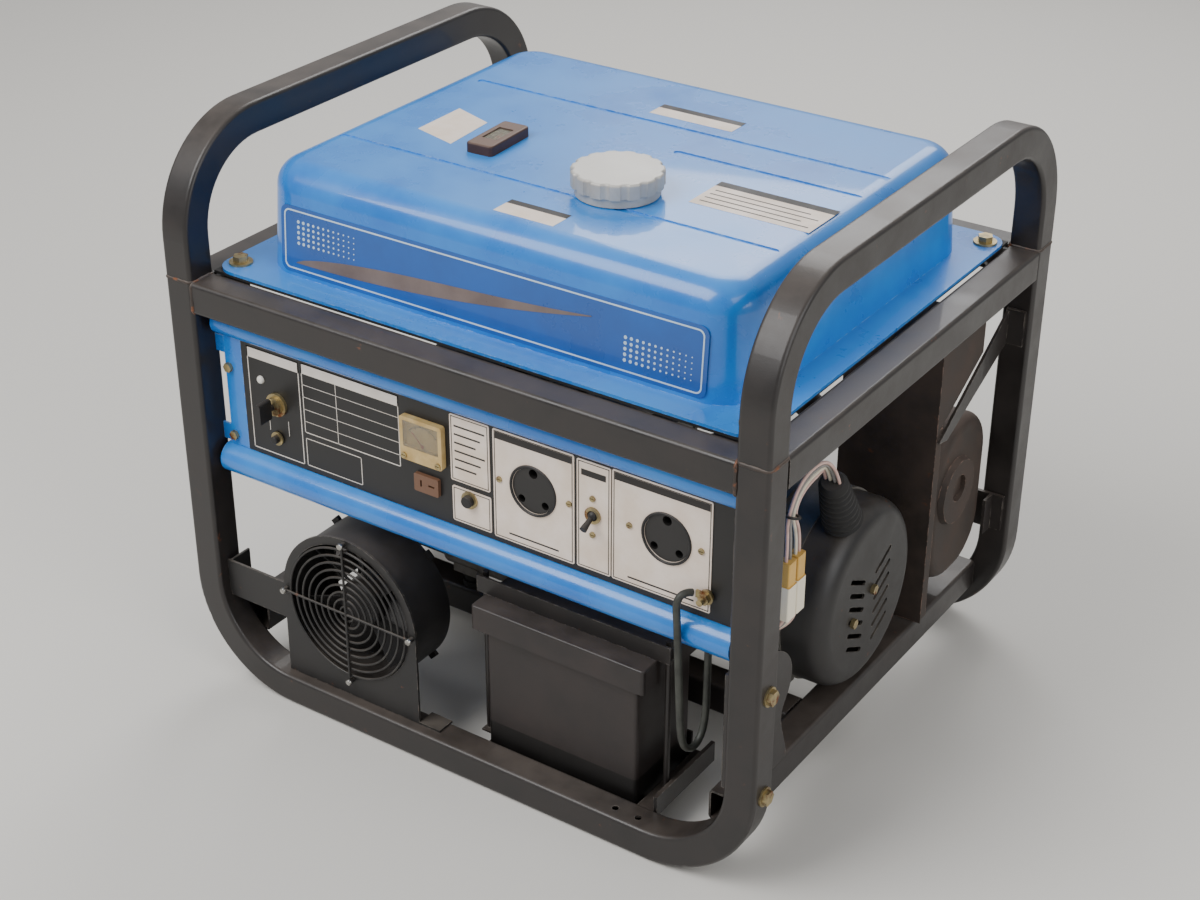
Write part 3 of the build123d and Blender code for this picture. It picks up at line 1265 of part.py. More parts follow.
EARTH_PIN_R = 3.0
EARTH_TIP_Y = PANEL_Y - 16.0
save_group([ac_sockets, dc_terminals], "outlets")
save_group([voltmeter_case, pilot_lamp], "voltmeter_case")
save_group([key_barrel, panel_collars, panel_screws], "panel_fittings")

with BuildPart() as earth_bolt:
    with BuildSketch(front_plane(PANEL_Y)):
        with Locations(EARTH_BOLT):
            Circle(EARTH_PIN_R)
    extrude(amount=16.0)
    with BuildSketch(front_plane(PANEL_Y)):
        with Locations(EARTH_BOLT):
            RegularPolygon(5.5, 6)
    extrude(amount=3.0)
    with BuildSketch(front_plane(PANEL_Y - 5.4)):
        with Locations(EARTH_BOLT):
            RegularPolygon(5.5, 6)
    extrude(amount=4.6)
    with BuildSketch(front_plane(PANEL_Y - 3.02)):
        with Locations(EARTH_BOLT):
            Circle(7.0)
            Circle(EARTH_PIN_R + 0.15, mode=Mode.SUBTRACT)
        with Locations((EARTH_BOLT[0] - 8.0, EARTH_BOLT[1] + 0.8)):
            Rectangle(4.0, 7.0)
    extrude(amount=2.3)
save(earth_bolt, "earth_bolt")

# Earth cable from the bolt, down in front of the lower roll, under it and up into the panel.
CABLE_R = 3.4
CABLE_Y = PANEL_Y - 18.0
lug_y = PANEL_Y - 4.2
with BuildPart() as earth_cable:
    with BuildLine() as cable_line:
        FilletPolyline(
            (EARTH_BOLT[0] - 13.0, lug_y - 1.0, EARTH_BOLT[1] + 0.8),
            (EARTH_BOLT[0] - 22.0, CABLE_Y, EARTH_BOLT[1] + 5.0),
            (242.0, CABLE_Y, 262.0),
            (246.0, CABLE_Y - 0.5, 190.0),
            (245.0, CABLE_Y + 6.0, 134.0),
            (246.0, -240.0, 118.0),
            (246.0, -222.0, 134.0),
            (244.0, -218.0, 190.0),
            (244.0, -218.0, PANEL_LOW),
            radius=[11.0, 11.0, 40.0, 30.0, 11.0, 11.0, 30.0],
        )
    with BuildSketch(Plane(origin=cable_line.line @ 0, z_dir=cable_line.line % 0)):
        Circle(CABLE_R)
    sweep()
save(earth_cable, "earth_cable")

# ---- Fuel tank -----------------------------------------------------------------------
TANK_WALL = 2.0
TANK_HALF = (265.0, 215.0)
FLANGE_HALF = (296.0, 243.0)
FLANGE_THICK = 3.0
flange_top = TANK_FLANGE_LOW + FLANGE_THICK
GROOVES = [(0.0, -116.0, 478.0), (150.0, 27.0, 210.0), (16.0, 80.0, 478.0)]
with BuildPart() as tank_upper:
    with BuildSketch(level_plane(TANK_FLANGE_LOW)):
        RectangleRounded(2 * TANK_HALF[0], 2 * TANK_HALF[1], 45.0)
    extrude(amount=TANK_TOP - TANK_FLANGE_LOW, taper=4)
    fillet(tank_upper.edges().group_by(Axis.Z)[-1], 26.0)
    offset(amount=-TANK_WALL, openings=tank_upper.faces().sort_by(Axis.Z)[0])
    with BuildSketch(level_plane(TANK_FLANGE_LOW)):
        RectangleRounded(2 * FLANGE_HALF[0], 2 * FLANGE_HALF[1], 22.0)
        RectangleRounded(2 * TANK_HALF[0] - 4.2, 2 * TANK_HALF[1] - 4.2, 42.9, mode=Mode.SUBTRACT)
        with Locations(*TANK_BOLT_SPOTS):
            Circle(4.5, mode=Mode.SUBTRACT)
    extrude(amount=FLANGE_THICK)
    with BuildSketch(level_plane(TANK_TOP)):
        for x, y, length in GROOVES:
            with Locations((x, y)):
                SlotOverall(length, 8.0)
    extrude(amount=-1.2, mode=Mode.SUBTRACT)
    with BuildSketch(level_plane(TANK_TOP - TANK_WALL)):
        with Locations(FUEL_CAP_SPOT):
            Circle(34.0)
    extrude(amount=8.0)
    with BuildSketch(level_plane(TANK_TOP - 10.0)):
        with Locations(FUEL_CAP_SPOT):
            Circle(30.0)
    extrude(amount=30.0, mode=Mode.SUBTRACT)
    with BuildSketch(level_plane(TANK_TOP - 10.0)):
        with Locations((-102.0, -50.0)):
            Circle(6.0)
    extrude(amount=30.0, mode=Mode.SUBTRACT)
save(tank_upper, "tank_upper")

PAN_DEEP = 24.0
with BuildPart() as tank_lower:
    with BuildSketch(level_plane(TANK_FLANGE_LOW - PAN_DEEP)):
        RectangleRounded(2 * TANK_HALF[0] - 24.0, 2 * TANK_HALF[1] - 24.0, 36.0)
    extrude(amount=PAN_DEEP, taper=-12)
    with BuildSketch(level_plane(TANK_FLANGE_LOW - PAN_DEEP + TANK_WALL)):
        RectangleRounded(2 * TANK_HALF[0] - 28.0, 2 * TANK_HALF[1] - 28.0, 34.0)
    extrude(amount=PAN_DEEP, taper=-12, mode=Mode.SUBTRACT)
    with BuildSketch(level_plane(TANK_FLANGE_LOW)):
        RectangleRounded(2 * TANK_HALF[0] + 10.0, 2 * TANK_HALF[1] + 10.0, 45.0)
        RectangleRounded(2 * TANK_HALF[0] - 17.0, 2 * TANK_HALF[1] - 17.0, 39.0, mode=Mode.SUBTRACT)
    extrude(amount=-TANK_WALL)
save(tank_lower, "tank_lower")

with BuildPart() as tank_bolts:
    with BuildSketch(level_plane(flange_top)):
        with Locations(*TANK_BOLT_SPOTS):
            Circle(11.5)
    extrude(amount=2.0)
    with BuildSketch(level_plane(flange_top + 2.0)):
        with Locations(*TANK_BOLT_SPOTS):
            RegularPolygon(6.5, 6, major_radius=False)
    extrude(amount=5.5)
    with BuildSketch(level_plane(flange_top)):
        with Locations(*TANK_BOLT_SPOTS):
            Circle(4.0)
    extrude(amount=-18.0)

save_group([frame_bolts, tank_bolts], "frame_bolts")

CAP_R = 42.5
CAP_TOP = 580.0
NECK_TOP = TANK_TOP - TANK_WALL + 8.0
LOBES = 15
with BuildPart() as fuel_cap:
    with BuildSketch(level_plane(NECK_TOP + 3.5)):
        with Locations(FUEL_CAP_SPOT):
            Circle(CAP_R)
            with PolarLocations(CAP_R + 3.0, LOBES):
                Circle(5.2, mode=Mode.SUBTRACT)
    extrude(amount=CAP_TOP - NECK_TOP - 3.5)
    fillet(fuel_cap.edges().group_by(Axis.Z)[-1], 2.5)
    with BuildSketch(level_plane(TANK_TOP + 1.0)):
        with Locations(FUEL_CAP_SPOT):
            Circle(38.8)
            Circle(35.0, mode=Mode.SUBTRACT)
    extrude(amount=NECK_TOP + 3.5 - TANK_TOP - 1.0)
save(fuel_cap, "fuel_cap")

with BuildPart() as cap_gasket:
    with BuildSketch(level_plane(NECK_TOP + 0.1)):
        with Locations(FUEL_CAP_SPOT):
            Circle(34.4)
            Circle(24.0, mode=Mode.SUBTRACT)
    extrude(amount=3.2)
    with BuildSketch(level_plane(NECK_TOP - 14.0)):
        with Locations(FUEL_CAP_SPOT):
            Circle(28.0)
            Circle(24.0, mode=Mode.SUBTRACT)
    extrude(amount=14.2)
save(cap_gasket, "cap_gasket")

GAUGE_SPOT = (-102.0, -50.0)
GAUGE_TURN = 3.0
with BuildPart() as gauge_housing:
    with BuildSketch(level_plane(TANK_TOP)):
        with Locations(Location(GAUGE_SPOT, GAUGE_TURN)):
            RectangleRounded(29.0, 66.0, 4.0)
    extrude(amount=10.0)
    fillet(gauge_housing.edges().group_by(Axis.Z)[-1], 2.0)
    with BuildSketch(level_plane(TANK_TOP + 10.0)):
        with Locations(Location(GAUGE_SPOT, GAUGE_TURN)):
            Rectangle(16.0, 30.0)
    extrude(amount=-6.0, mode=Mode.SUBTRACT)
    with BuildSketch(level_plane(TANK_TOP)):
        with Locations(GAUGE_SPOT):
            Circle(3.05)
    extrude(amount=10.0, mode=Mode.SUBTRACT)
save(gauge_housing, "gauge_housing")

with BuildPart() as dial_glasses:
    with BuildSketch(front_plane(METER_FRONT)):
        with Locations((meter_mid[0], meter_mid[1] + 5.0)):
            Rectangle(meter_wide - 8.0, meter_high - 18.0)
    extrude(amount=-1.0)
    with BuildSketch(level_plane(TANK_TOP + 9.0)):
        with Locations(Location(GAUGE_SPOT, GAUGE_TURN)):
            Rectangle(16.0, 30.0)
    extrude(amount=-1.0)
save(dial_glasses, "dial_glasses")

# Upright spindle of the fuel gauge: dial needle above, float arm inside the tank.
FLOAT_Z = 470.0
with BuildPart() as gauge_float:
    with BuildSketch(level_plane(FLOAT_Z)):
        with Locations(GAUGE_SPOT):
            Circle(3.0)
    extrude(amount=TANK_TOP + 6.0 - FLOAT_Z)
    with BuildSketch(level_plane(TANK_TOP + 6.0)):
        with Locations((GAUGE_SPOT[0], GAUGE_SPOT[1] + 2.0)):
            Rectangle(1.2, 12.0)
    extrude(amount=0.8)
    with BuildSketch(level_plane(FLOAT_Z - 3.0)):
        with Locations((GAUGE_SPOT[0] - 40.0, GAUGE_SPOT[1])):
            Rectangle(86.0, 4.0)
    extrude(amount=4.0)
    with BuildSketch(level_plane(FLOAT_Z - 12.0)):
        with Locations((GAUGE_SPOT[0] - 88.0, GAUGE_SPOT[1])):
            Circle(16.0)
    extrude(amount=24.0)
save(gauge_float, "gauge_float")

# ---- Fuel line -----------------------------------------------------------------------
VALVE_SPOT = (-200.0, -40.0)
PAN_LOW = TANK_FLANGE_LOW - PAN_DEEP
VALVE_LOW = PAN_LOW - 34.0
with BuildPart() as fuel_valve:
    with BuildSketch(level_plane(PAN_LOW)):
        with Locations(VALVE_SPOT):
            Circle(9.0)
    extrude(amount=-12.0)
    with BuildSketch(level_plane(PAN_LOW - 12.0)):
        with Locations(VALVE_SPOT):
            RectangleRounded(26.0, 20.0, 4.0)
    extrude(amount=-16.0)
    with BuildSketch(level_plane(PAN_LOW - 28.0)):
        with Locations(VALVE_SPOT):
            Circle(3.0)
    extrude(amount=-10.0)
save(fuel_valve, "fuel_valve")

lever_x = VALVE_SPOT[0] - 13.3
with BuildPart() as fuel_valve_lever:
    with BuildSketch(side_plane(lever_x)):
        with Locations((VALVE_SPOT[1], PAN_LOW - 20.0)):
            Circle(7.0)
        with Locations((VALVE_SPOT[1] - 14.0, PAN_LOW - 20.0)):
            RectangleRounded(28.0, 8.0, 3.0)
    extrude(amount=-5.0)
save(fuel_valve_lever, "fuel_valve_lever")

HOSE_R = 4.5
carb_mid_x = (CARB_LEFT + PORT_LEFT) / 2
with BuildPart() as fuel_hose:
    with BuildLine() as hose_line:
        FilletPolyline(
            (VALVE_SPOT[0], VALVE_SPOT[1], PAN_LOW - 38.0),
            (VALVE_SPOT[0], VALVE_SPOT[1], PAN_LOW - 72.0),
            (carb_mid_x - 30.0, 20.0, 338.0),
            (carb_mid_x, 62.0, PORT_Z + 22.0),
            (carb_mid_x, 84.0, PORT_Z + 4.0),
            (carb_mid_x, PORT_Y - 22.0, PORT_Z + 4.0),
            radius=[24.0, 30.0, 20.0, 14.0],
        )
    with BuildSketch(Plane(origin=hose_line.line @ 0, z_dir=hose_line.line % 0)):
        Circle(HOSE_R)
    sweep()
save(fuel_hose, "fuel_hose")

# ---- Oil dipstick --------------------------------------------------------------------
with BuildPart() as oil_dipstick:
    with BuildSketch(dip_plane.offset(19.2)):
        Circle(14.0)
    extrude(amount=8.0)
    with BuildSketch(dip_plane.offset(27.2)):
        RectangleRounded(22.0, 5.0, 2.0)
    extrude(amount=8.0)
    with BuildSketch(dip_plane.offset(5.0)):
        Circle(6.0)
    extrude(amount=14.2)
save(oil_dipstick, "oil_dipstick")

print("earth cable route", round(cable_line.wires()[0].length, 1))
print("fuel hose route", round(hose_line.wires()[0].length, 1))
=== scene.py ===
"""Portable generator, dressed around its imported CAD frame."""
from math import cos, radians, sin, tan, tau
from random import Random

import bmesh
import bpy
from mathutils import Matrix, Vector


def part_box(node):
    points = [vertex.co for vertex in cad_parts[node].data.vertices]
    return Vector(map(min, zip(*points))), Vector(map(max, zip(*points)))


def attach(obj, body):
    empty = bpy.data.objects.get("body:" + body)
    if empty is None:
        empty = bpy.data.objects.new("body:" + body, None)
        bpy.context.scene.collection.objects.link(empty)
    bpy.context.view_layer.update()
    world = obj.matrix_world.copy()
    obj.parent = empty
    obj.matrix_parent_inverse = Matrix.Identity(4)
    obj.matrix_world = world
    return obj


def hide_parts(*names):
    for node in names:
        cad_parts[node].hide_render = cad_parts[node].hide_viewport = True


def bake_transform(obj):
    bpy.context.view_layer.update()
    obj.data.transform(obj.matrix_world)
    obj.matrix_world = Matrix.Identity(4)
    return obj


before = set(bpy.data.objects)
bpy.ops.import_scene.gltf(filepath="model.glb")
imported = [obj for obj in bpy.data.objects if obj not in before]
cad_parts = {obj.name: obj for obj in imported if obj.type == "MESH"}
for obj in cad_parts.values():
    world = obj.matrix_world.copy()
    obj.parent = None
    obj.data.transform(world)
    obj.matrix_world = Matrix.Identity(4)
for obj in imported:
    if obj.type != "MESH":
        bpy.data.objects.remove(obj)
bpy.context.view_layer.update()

bl_info = {
    "name": "Portable generator",
    "version": (1, 0, 0),
    "blender": (4, 5, 0),
    "location": "3D View > Sidebar > Generator",
    "description": "Finishes and fittings of an open-frame generator",
    "category": "Object",
}

MM = 0.001


# ---- Colour, nodes and finishes ------------------------------------------------------
def linear(code):
    """sRGB hex, such as 1F2A33, to a linear RGBA tuple."""
    parts = [int(code[i:i + 2], 16) / 255 for i in (0, 2, 4)]
    return tuple(c / 12.92 if c <= 0.04045 else ((c + 0.055) / 1.055) ** 2.4 for c in parts) + (1.0,)


def add_node(tree, kind, settings=None, inputs=None):
    """Adds a node with its settings; an input given as (node, output) is linked, else it is a value."""
    made = tree.nodes.new(kind)
    for key, value in (settings or {}).items():
        setattr(made, key, value)
    for key, value in (inputs or {}).items():
        if isinstance(value, tuple) and isinstance(value[0], bpy.types.Node):
            tree.links.new(value[0].outputs[value[1]], made.inputs[key])
        else:
            made.inputs[key].default_value = value
    return made


def surface(name, base, vary, rough=0.5, metallic=0.0, coat=0.0, grain_mm=0.8, bump=0.2, patch_mm=45.0,
            dust_and_painted_top_light=None, wear_and_painted_edge_highlight=None, rust=None, rust_level=0.6, split=None, transmission=0.0, ior=1.5):
    """A worn finish: base to vary in patches, dust on upward faces (a painted highlight of the lit top on the blue
    enamel), wear on edges (partly a painted edge highlight on the heated steel), rust in spots.

    split is (axis name, metres, colour): the colour below that place."""
    mat = bpy.data.materials.new(name)
    mat.use_nodes = True
    tree = mat.node_tree
    tree.nodes.clear()
    place = add_node(tree, "ShaderNodeTexCoord")
    here = (place, "Object")
    patches = add_node(tree, "ShaderNodeTexNoise", None,
                       {"Vector": here, "Scale": 1 / (patch_mm * MM), "Detail": 5.0, "Roughness": 0.6})
    grain = add_node(tree, "ShaderNodeTexNoise", None,
                     {"Vector": here, "Scale": 1 / (grain_mm * MM), "Detail": 3.0})
    spread = add_node(tree, "ShaderNodeMapRange", None,
                      {"Value": (patches, 0), "From Min": 0.35, "From Max": 0.65})

    def over(below, factor, colour):
        return (add_node(tree, "ShaderNodeMix", {"data_type": "RGBA"},
                         {0: factor, 6: below, 7: linear(colour)}), 2)

    colour = (add_node(tree, "ShaderNodeMix", {"data_type": "RGBA"},
                       {0: (spread, 0), 6: linear(base), 7: linear(vary)}), 2)
    if split:
        axes = add_node(tree, "ShaderNodeSeparateXYZ", None, {0: here})
        below = add_node(tree, "ShaderNodeMath", {"operation": "LESS_THAN"}, {0: (axes, split[0]), 1: split[1]})
        colour = over(colour, (below, 0), split[2])
    geometry = add_node(tree, "ShaderNodeNewGeometry")
    # upward faces get dust; on the blue enamel this colour is a painted highlight of the lit top
    if dust_and_painted_top_light:
        facing = add_node(tree, "ShaderNodeSeparateXYZ", None, {0: (geometry, "Normal")})
        upward = add_node(tree, "ShaderNodeMapRange", None,
                          {"Value": (facing, "Z"), "From Min": 0.5, "From Max": 1.0})
        cover = add_node(tree, "ShaderNodeMapRange", None,
                         {"Value": (patches, 0), "From Min": 0.3, "From Max": 0.7, "To Min": 0.35, "To Max": 0.95})
        amount = add_node(tree, "ShaderNodeMath", {"operation": "MULTIPLY"}, {0: (upward, 0), 1: (cover, 0)})
        colour = over(colour, (amount, 0), dust_and_painted_top_light)
    # edges get worn paint; on the heated steel the pale pink is also a painted edge highlight
    if wear_and_painted_edge_highlight:
        round_edge = add_node(tree, "ShaderNodeBevel", {"samples": 4}, {"Radius": 1.6 * MM})
        turn = add_node(tree, "ShaderNodeVectorMath", {"operation": "DOT_PRODUCT"},
                        {0: (round_edge, 0), 1: (geometry, "Normal")})
        edge = add_node(tree, "ShaderNodeMapRange", None,
                        {"Value": (turn, "Value"), "From Min": 0.97, "From Max": 0.8})
        edge_spots = add_node(tree, "ShaderNodeTexNoise", None,
                         {"Vector": here, "Scale": 1 / (9 * MM), "Detail": 6.0, "Roughness": 0.7})
        edge_spot_mask = add_node(tree, "ShaderNodeMapRange", None,
                           {"Value": (edge_spots, 0), "From Min": 0.48, "From Max": 0.6})
        amount = add_node(tree, "ShaderNodeMath", {"operation": "MULTIPLY"}, {0: (edge, 0), 1: (edge_spot_mask, 0)})
        colour = over(colour, (amount, 0), wear_and_painted_edge_highlight)
    if rust:
        spots = add_node(tree, "ShaderNodeTexNoise", None,
                         {"Vector": here, "Scale": 1 / (16 * MM), "Detail": 8.0, "Roughness": 0.65})
        amount = add_node(tree, "ShaderNodeMapRange", None,
                          {"Value": (spots, 0), "From Min": rust_level, "From Max": rust_level + 0.09})
        colour = over(colour, (amount, 0), rust)
    shine = add_node(tree, "ShaderNodeMapRange", None,
                     {"Value": (patches, 0), "From Min": 0.3, "From Max": 0.7,
                      "To Min": max(rough - 0.08, 0.03), "To Max": min(rough + 0.12, 1.0)})
    relief = add_node(tree, "ShaderNodeBump", None,
                      {"Height": (grain, 0), "Strength": bump, "Distance": 0.4 * MM})
    shader = add_node(tree, "ShaderNodeBsdfPrincipled", None,
                      {"Base Color": colour, "Roughness": (shine, 0), "Metallic": metallic, "IOR": ior,
                       "Coat Weight": coat, "Normal": (relief, 0), "Transmission Weight": transmission})
    add_node(tree, "ShaderNodeOutputMaterial", None, {"Surface": (shader, 0)})
    return mat


FINISHES = {
    # baked enamel on square tube: brown-black, dusty on top, chipped to bare steel at the corners
    "frame enamel": dict(base="1F1C1B", vary="2B2624", rough=0.4, dust_and_painted_top_light="544C46", wear_and_painted_edge_highlight="8D857C",
                         rust="6E4128", rust_level=0.66, coat=0.15, grain_mm=1.2),
    # glossy blue stove enamel: deep on the sides, with scuffs and a little rust; the lighter blue on upward faces is
    # a painted highlight of the lit top
    "blue enamel": dict(base="0B6FCB", vary="1F84DC", rough=0.28, coat=0.45, bump=0.06, grain_mm=1.5,
                        patch_mm=90, dust_and_painted_top_light="3E92E2", wear_and_painted_edge_highlight="8FB9E0", rust="6B4A35", rust_level=0.7),
    # yellow-passivated zinc fasteners: warm dull metal with brown rust
    "passivated zinc": dict(base="B8A678", vary="8F8468", metallic=0.85, rough=0.4, rust="7A4524",
                            rust_level=0.55, patch_mm=8),
    # moulded rubber: deep matt black with grey bloom
    "moulded rubber": dict(base="161616", vary="242322", rough=0.75, grain_mm=0.9, dust_and_painted_top_light="4A4643"),
    # sand-cast aluminium: pale grey and grainy, with oily patches
    "cast aluminium": dict(base="8E8B86", vary="6E6A64", metallic=0.8, rough=0.55, bump=0.6,
                           grain_mm=1.6, dust_and_painted_top_light="7F776C"),
    # stamped and turned steel: plain grey with fine marks
    "machined steel": dict(base="77756F", vary="5C5A56", metallic=0.9, rough=0.4, rust="6B4630"),
    # grey iron casting: dark and rough
    "grey iron": dict(base="3A3836", vary="4A4440", metallic=0.6, rough=0.65, bump=0.7, grain_mm=1.5),
    # black paint on steel covers: grey-black, dusty on top, worn on the edges
    "black paint": dict(base="1D1C1C", vary="2B2928", rough=0.45, dust_and_painted_top_light="5F5851", wear_and_painted_edge_highlight="7C756C",
                        rust="7A4526", rust_level=0.66),
    # injection-moulded black plastic: fine texture and a soft sheen
    "black plastic": dict(base="181717", vary="232121", rough=0.5, dust_and_painted_top_light="4E4843", grain_mm=0.7),
    # thin black panel sheet: smooth, with a few grey scuffs
    "panel sheet": dict(base="171616", vary="201F1E", rough=0.4, bump=0.08, patch_mm=70, wear_and_painted_edge_highlight="6C645E"),
    # black sockets; the brown moulded terminals are on the left of the plates
    "outlet moulding": dict(base="1B1A1A", vary="262423", rough=0.38, split=("X", 0.0, "6E4E3A")),
    # heat-stained aluminised steel: brown-grey with a matt bloom; the pale pink on its chipped edges is partly wear
    # and partly a painted edge highlight
    "heated steel": dict(base="37302C", vary="4B3F38", metallic=0.3, rough=0.65, dust_and_painted_top_light="6E6058",
                         wear_and_painted_edge_highlight="B08F7E", rust="6A4029", rust_level=0.66, grain_mm=1.4, bump=0.35),
    # yellowed ABS meter body; the white lamp is on the far left of the panel
    "yellowed ABS": dict(base="CDB27C", vary="B99A60", rough=0.4, bump=0.05, patch_mm=14,
                         split=("X", -0.2, "E8E4DA")),
    # bright zinc screws and studs
    "bright zinc": dict(base="B9B7B2", vary="8D8A85", metallic=1.0, rough=0.3, patch_mm=6,
                        rust="7A5436", rust_level=0.62),
    # polypropylene battery box: black gone brown-grey, with painted shade at the foot where the tray lip shades it
    "battery case": dict(base="262120", vary="332C2A", rough=0.4, dust_and_painted_top_light="58504B",
                         split=("Z", 0.052, "141211")),
    # printed cream sheet, slightly yellowed
    "printed sheet": dict(base="EFE0D3", vary="E2D0BE", rough=0.45, bump=0.05, patch_mm=30,
                          rust="B59A7E", rust_level=0.7),
    # powder-coated fuel cap: silver-grey with scuffs
    "cap coating": dict(base="C6C3BC", vary="AEAAA2", metallic=0.25, rough=0.42, dust_and_painted_top_light="D3D0CA",
                        wear_and_painted_edge_highlight="8A847A", rust="8E7A64", rust_level=0.68),
    # acrylic window, faintly yellowed
    "acrylic window": dict(base="F2EEDD", vary="E8E0C6", rough=0.12, transmission=0.9, ior=1.49,
                           bump=0.02, patch_mm=20),
    # matt pointer paint
    "pointer paint": dict(base="A3221B", vary="8A1D17", rough=0.5),
    # PVC cable sheath, dark grey with dirt
    "cable sheath": dict(base="3E403A", vary="2C2D29", rough=0.5, patch_mm=18),
    # glazed white porcelain
    "glazed porcelain": dict(base="E6E3DC", vary="D6D1C6", rough=0.2, coat=0.5, bump=0.02),
    # brown moulded gauge body
    "brown moulding": dict(base="4A2F26", vary="3B261F", rough=0.5, dust_and_painted_top_light="7A6254"),
    # yellowed nylon plugs: amber above the split
    "nylon plug": dict(base="D9AE5A", vary="CB9F4C", rough=0.42, split=("Z", 0.284, "EFE6CF")),
    # printed blue decal, darker than the tank
    "decal blue": dict(base="0A4F9C", vary="0D59AC", rough=0.3, coat=0.4, bump=0.03, patch_mm=60),
    "decal pale": dict(base="CFE2F2", vary="BFD6EA", rough=0.35, bump=0.03, patch_mm=40),
    "decal brown": dict(base="6A5B56", vary="7C6D66", rough=0.35, bump=0.03, patch_mm=40),
    # black ink on the plates, white ink on the black sheet
    "black ink": dict(base="1E1B1A", vary="2B2725", rough=0.5, bump=0.03),
    "white ink": dict(base="E9E2DA", vary="D8CFC4", rough=0.5, bump=0.03),
    "weld bead": dict(base="2E2723", vary="4A3E37", rough=0.5, dust_and_painted_top_light="7B6F65", rust="7A4828",
                      rust_level=0.56, grain_mm=1.5, bump=0.5),
    "pink wire": dict(base="D9B7AC", vary="C4A297", rough=0.45, patch_mm=15),
    "cream wire": dict(base="E0D8C4", vary="CDC3AB", rough=0.45, patch_mm=15),
    "grey wire": dict(base="8C8A86", vary="7B7874", rough=0.45, patch_mm=15),
    # braided polyester starter rope: pale, with strand marks
    "braided rope": dict(base="CFC8BA", vary="9E968A", rough=0.8, patch_mm=3, bump=0.6, grain_mm=1.0),
}
materials = {}


def finish(name):
    """The material of that name, made the first time it is asked for."""
    if name not in materials:
        materials[name] = surface(name, **FINISHES[name])
    return materials[name]


NODE_FINISHES = {
    "frame enamel": "frame_hoops carry_handles top_rails base_rails frame_plates battery_tray",
    "blue enamel": "panel_housing tank_upper tank_lower",
    "passivated zinc": "frame_bolts earth_bolt panel_fittings fuel_valve_lever",
    "moulded rubber": "rubber_mounts cap_gasket",
    "cast aluminium": "crankcase cylinder_head carburettor fuel_valve piston alternator_ends",
    "machined steel": "crankshaft bearings rotor stator",
    "grey iron": "flywheel",
    "black paint": "blower_housing starter_motor end_cover fan_bracket fan_guard",
    "black plastic": "air_cleaner recoil_pulley recoil_handle fan_housing fan_impeller breaker_button "
                     "dc_breaker_button choke_lever oil_dipstick toggle_lever engine_key",
    "panel sheet": "panel_face",
    "outlet moulding": "outlets",
    "heated steel": "muffler muffler_guard",
    "battery case": "battery_box",
    "printed sheet": "panel_plates",
    "yellowed ABS": "voltmeter_case",
    "cap coating": "fuel_cap",
    "acrylic window": "dial_glasses",
    "pointer paint": "voltmeter_needle gauge_float",
    "glazed porcelain": "spark_plug",
    "brown moulding": "gauge_housing",
    "nylon plug": "wire_plugs",
}


# ---- Mesh helpers --------------------------------------------------------------------
def place_mesh(name, bm, look, body, replaced=()):
    """Turns a bmesh in millimetres into a piece that rides on a body; with no body it rides on none yet."""
    bmesh.ops.scale(bm, vec=(MM, MM, MM), verts=bm.verts)
    bmesh.ops.recalc_face_normals(bm, faces=bm.faces)
    mesh = bpy.data.meshes.new(name)
    bm.to_mesh(mesh)
    bm.free()
    mesh.shade_smooth()
    mesh.set_sharp_from_angle(angle=radians(35))
    return settle(bpy.data.objects.new(name, mesh), look, body, replaced)


def settle(piece, look, body, replaced=()):
    """Links a piece, gives it its finish, hangs it on its body and hides the CAD parts it replaces."""
    bpy.context.scene.collection.objects.link(piece)
    piece.data.materials.append(finish(look))
    if body:
        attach(piece, body)
    if replaced:
        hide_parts(*replaced)
    return piece


def add_prism(bm, points, lift):
    """A closed outline of 3-D points, thickened along lift."""
    low = [bm.verts.new(p) for p in points]
    high = [bm.verts.new(Vector(p) + lift) for p in points]
    bm.faces.new(low)
    bm.faces.new(high[::-1])
    for i in range(len(points)):
        k = (i + 1) % len(points)
        bm.faces.new((low[i], low[k], high[k], high[i]))


def rounded(x0, x1, z0, z1, r, steps=5):
    """Outline of a rectangle with rounded corners, as (u, v) pairs."""
    points = []
    for cx, cz, start in ((x1 - r, z1 - r, 0), (x0 + r, z1 - r, 90), (x0 + r, z0 + r, 180), (x1 - r, z0 + r, 270)):
        for i in range(steps + 1):
            a = radians(start + 90 * i / steps)
            points.append((cx + r * cos(a), cz + r * sin(a)))
    return points


def add_frame(bm, place, x0, x1, z0, z1, wide, lift):
    """A thin printed outline round a rectangle, from four bars."""
    for bar in ((x0, x1, z0, z0 + wide), (x0, x1, z1 - wide, z1), (x0, x0 + wide, z0, z1), (x1 - wide, x1, z0, z1)):
        add_bar(bm, place, *bar, lift)


def add_bar(bm, place, x0, x1, z0, z1, lift):
    """One printed bar, placed on its sheet by place."""
    add_prism(bm, [place(*p) for p in ((x0, z0), (x1, z0), (x1, z1), (x0, z1))], lift)


def tube(name, routes, radius, look, body, replaced=(), radii=None, cyclic=False, order=3):
    """Round cords or beads on smooth curves; routes are lists of points in millimetres."""
    data = bpy.data.curves.new(name, "CURVE")
    data.dimensions = "3D"
    data.bevel_depth = radius * MM
    data.bevel_resolution = 4
    data.resolution_u = 10
    data.use_fill_caps = True
    for points in routes:
        spline = data.splines.new("NURBS")
        spline.points.add(len(points) - 1)
        for i, (p, q) in enumerate(zip(spline.points, points)):
            p.co = (*(Vector(q) * MM), 1.0)
            p.radius = radii(i) if radii else 1.0
        spline.order_u = order
        spline.use_endpoint_u = not cyclic
        spline.use_cyclic_u = cyclic
    return settle(bpy.data.objects.new(name, data), look, body, replaced)


